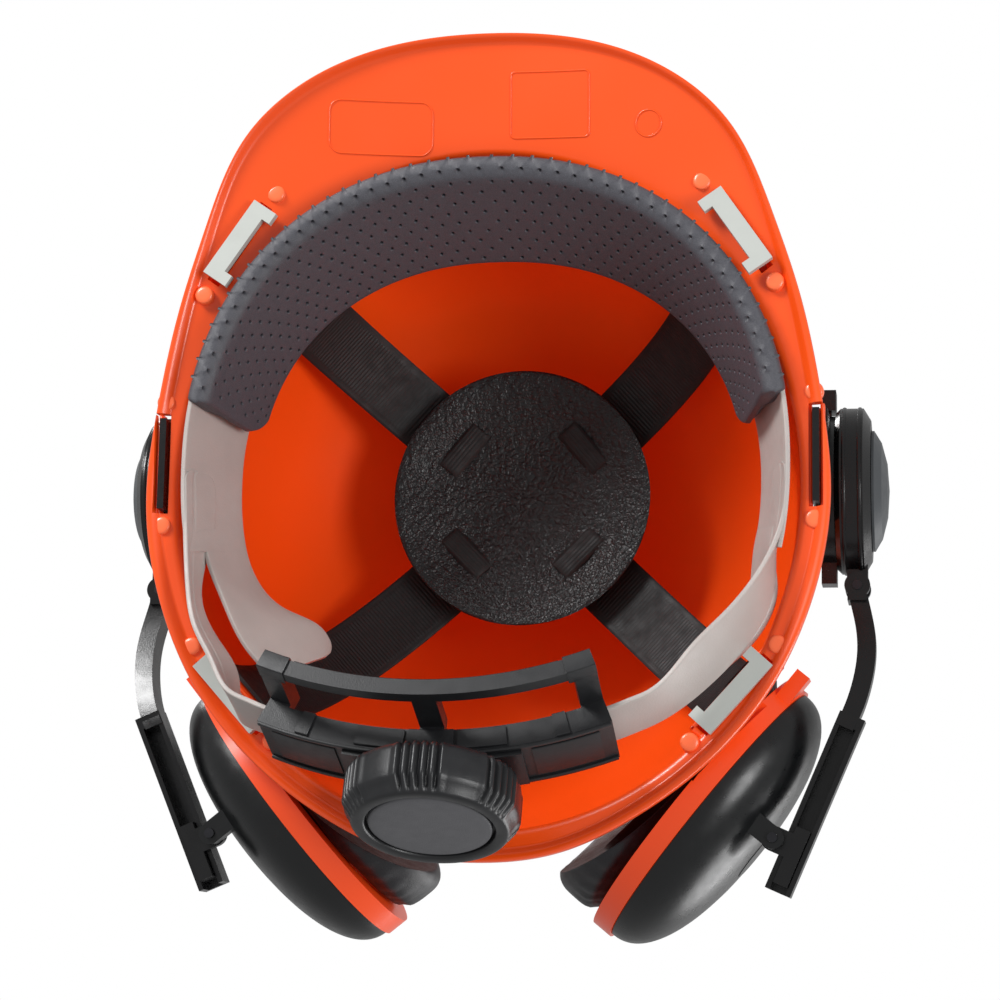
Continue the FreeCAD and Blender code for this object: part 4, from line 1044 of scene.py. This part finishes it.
def make_knob():
    """The hand knob: six groups of finger grooves round a chamfered rim, and a disc let into its face."""
    def grip(radius, height, angle):
        turn = math.degrees(angle) % 60 - 30
        inside = abs(turn) < 15.5
        groove = (0.5 - 0.5 * math.cos(math.radians(turn * 360 / 6.2 + 180))) ** 1.5 if inside else 0.0
        flank = float(ease((radius - 22.5) / 3)) * float(ease((23.6 - height) / 1.5))
        waist = 0.7 * float(ease((abs(turn) - 14) / 6))
        return radius - flank * (1.5 * groove + waist)
    place = RATCHET @ Matrix.Rotation(math.radians(-90), 4, "X")
    profile = [(3.2, 11.0), (19.5, 11.0), (20.0, 7.4), (24.6, 7.3), (26.6, 8.0), (27.3, 9.2), (27.5, 10.2), (27.5, 13),
               (27.5, 16), (27.45, 18.6), (27.2, 19.4), (26.5, 20.4), (25.4, 21.8), (24.4, 23.2), (23.8, 23.9),
               (23.2, 24.15), (22.2, 24.2), (20.6, 24.1), (20.1, 23.8), (19.9, 23.2), (19.8, 21.4), (3.2, 21.4)]
    knob = spun("knob_grip", profile, place, MATERIALS["ratchet"], "knob", 720, grip)
    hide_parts("ratchet_knob")
    disc = [(0, 24.1), (6, 24.06), (12, 23.95), (16.4, 23.75), (18.2, 23.6), (18.75, 23.4), (19.0, 23.0), (19.0, 21.5)]
    face = spun("knob_disc", disc, place, MATERIALS["knob_face"], "knob", 96)
    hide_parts("knob_face")


# ---------------------------------------------------------------- earmuffs

CUP_PLACE = Matrix.Translation((69.2, 107.6, 46.0)) @ Matrix.Rotation(math.radians(39.0), 4, "Z")
MIRROR = Matrix.Scale(-1, 4, (1, 0, 0))
CHANNEL = Matrix.Translation((116.3, 77.0, 30.0)) @ Matrix.Rotation(math.radians(23.2), 4, "Z")
SWIVEL_PIVOT = CHANNEL @ Vector((-7.6, 46.0, 0.0))


def clear_of_shell(point, gap=1.2):
    """Moves a point of a pressed cushion out to the shell's surface."""
    x, y, z = point
    top = DOME[2] + DOME_WALL + gap
    if not -6 < z < top:
        return point
    ring = (1 - max(z, 0) ** DOME_POWER / top ** DOME_POWER) ** (1 / DOME_POWER)
    share = math.hypot(x / (DOME[0] + DOME_WALL + gap), (y - DOME_CENTRE[1]) / (DOME[1] + DOME_WALL + gap))
    if share >= ring:
        return point
    grow = ring / max(share, 0.01)
    return Vector((x * grow, DOME_CENTRE[1] + (y - DOME_CENTRE[1]) * grow, z))


def cup_motions():
    """The corners of the cup's travel: at rest, slid up its channel, turned, and both."""
    slide = Matrix.Translation(CHANNEL.to_3x3() @ Vector((0, -6, 0)))
    turn = Matrix.Rotation(math.radians(6), 4, "Z")
    swivel = Matrix.Translation(SWIVEL_PIVOT) @ turn @ Matrix.Translation(-SWIVEL_PIVOT)
    return [Matrix.Identity(4), slide, swivel, slide @ swivel]


def clear_in_travel(point, motions):
    """Moves a cushion point so that it also clears the shell wherever the cup is slid or turned."""
    for motion in motions:
        point = motion.inverted() @ clear_of_shell(motion @ point)
    return point


def make_cushions():
    """Soft ear cushions: a plump oval ring with a pulled-in seam and puckers, pressed flat by the shell."""
    rows, columns = 160, 48
    motions = cup_motions()
    for label, mirror in (("left", Matrix.Identity(4)), ("right", MIRROR)):
        vertices = []
        for row in range(rows):
            turn = 2 * math.pi * row / rows
            for column in range(columns):
                angle = 2 * math.pi * column / columns
                depth = -17.2 + 9.8 * math.copysign(abs(math.cos(angle)) ** 0.75, math.cos(angle))
                across = 9.3 * math.copysign(abs(math.sin(angle)) ** 0.8, math.sin(angle))
                seam = 0.9 * math.exp(-((depth + 9.8) / 1.1) ** 2) if across > 0 else 0.0
                pucker = 0.35 * math.sin(turn * 46 + 2 * math.sin(turn * 5)) * math.exp(-((depth + 11.5) / 4.5) ** 2)
                wave = 0.5 * noise.noise(Vector((math.cos(turn) * 2.2, math.sin(turn) * 2.2, angle)))
                reach_y, reach_z = 39.8 + across - seam + pucker + wave, 29.8 + across - seam + pucker + wave
                local = Vector((depth + wave, reach_y * math.cos(turn), reach_z * math.sin(turn)))
                vertices.append(mirror @ clear_in_travel(CUP_PLACE @ local, motions))
        pad = add_mesh(f"cushion_{label}", [v[:] for v in vertices], quads(rows, columns, wrap_rows=True),
                       MATERIALS["cushion"], f"cup_{label}")
        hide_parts(f"cup_cushion_{label}")


def make_foam():
    """Dimpled foam lining deep in each cup."""
    rows, columns = 26, 64
    for label, mirror in (("left", Matrix.Identity(4)), ("right", MIRROR)):
        vertices = []
        for row in range(rows):
            share = row / (rows - 1)
            for column in range(columns):
                turn = 2 * math.pi * column / columns
                y, z = 41.5 * share * math.cos(turn), 31.5 * share * math.sin(turn)
                bump = 0.6 * math.sin(y / 2.2) * math.sin(z / 2.2)
                vertices.append(mirror @ CUP_PLACE @ Vector((3.5 + bump - 1.5 * share ** 4, y, z)))
        foam = add_mesh(f"foam_{label}", [v[:] for v in vertices], quads(rows, columns),
                        MATERIALS["foam"], f"cup_{label}")



make_camera()
make_studio()
paint_nodes()
make_shell()
make_sockets()
make_slot_liners()
make_marks()
make_headband()
make_sweatband()
make_webbing()
make_crown_pad()
make_nape_straps()
make_housing_panels()
make_knob()
make_hub_bands()
make_cushions()
make_foam()
soften(0.4, 2, "key_front_left", "key_front_right", "key_rear_left", "key_rear_right")
soften(0.5, 2, "ratchet_housing", "ratchet_cover", "arm_left", "arm_right", "slot_adapter_left", "slot_adapter_right",
       "hub_housing_left", "hub_housing_right", "slider_block_left", "slider_block_right", "hub_cap_left",
       "hub_cap_right", "cup_ring_left", "cup_ring_right")
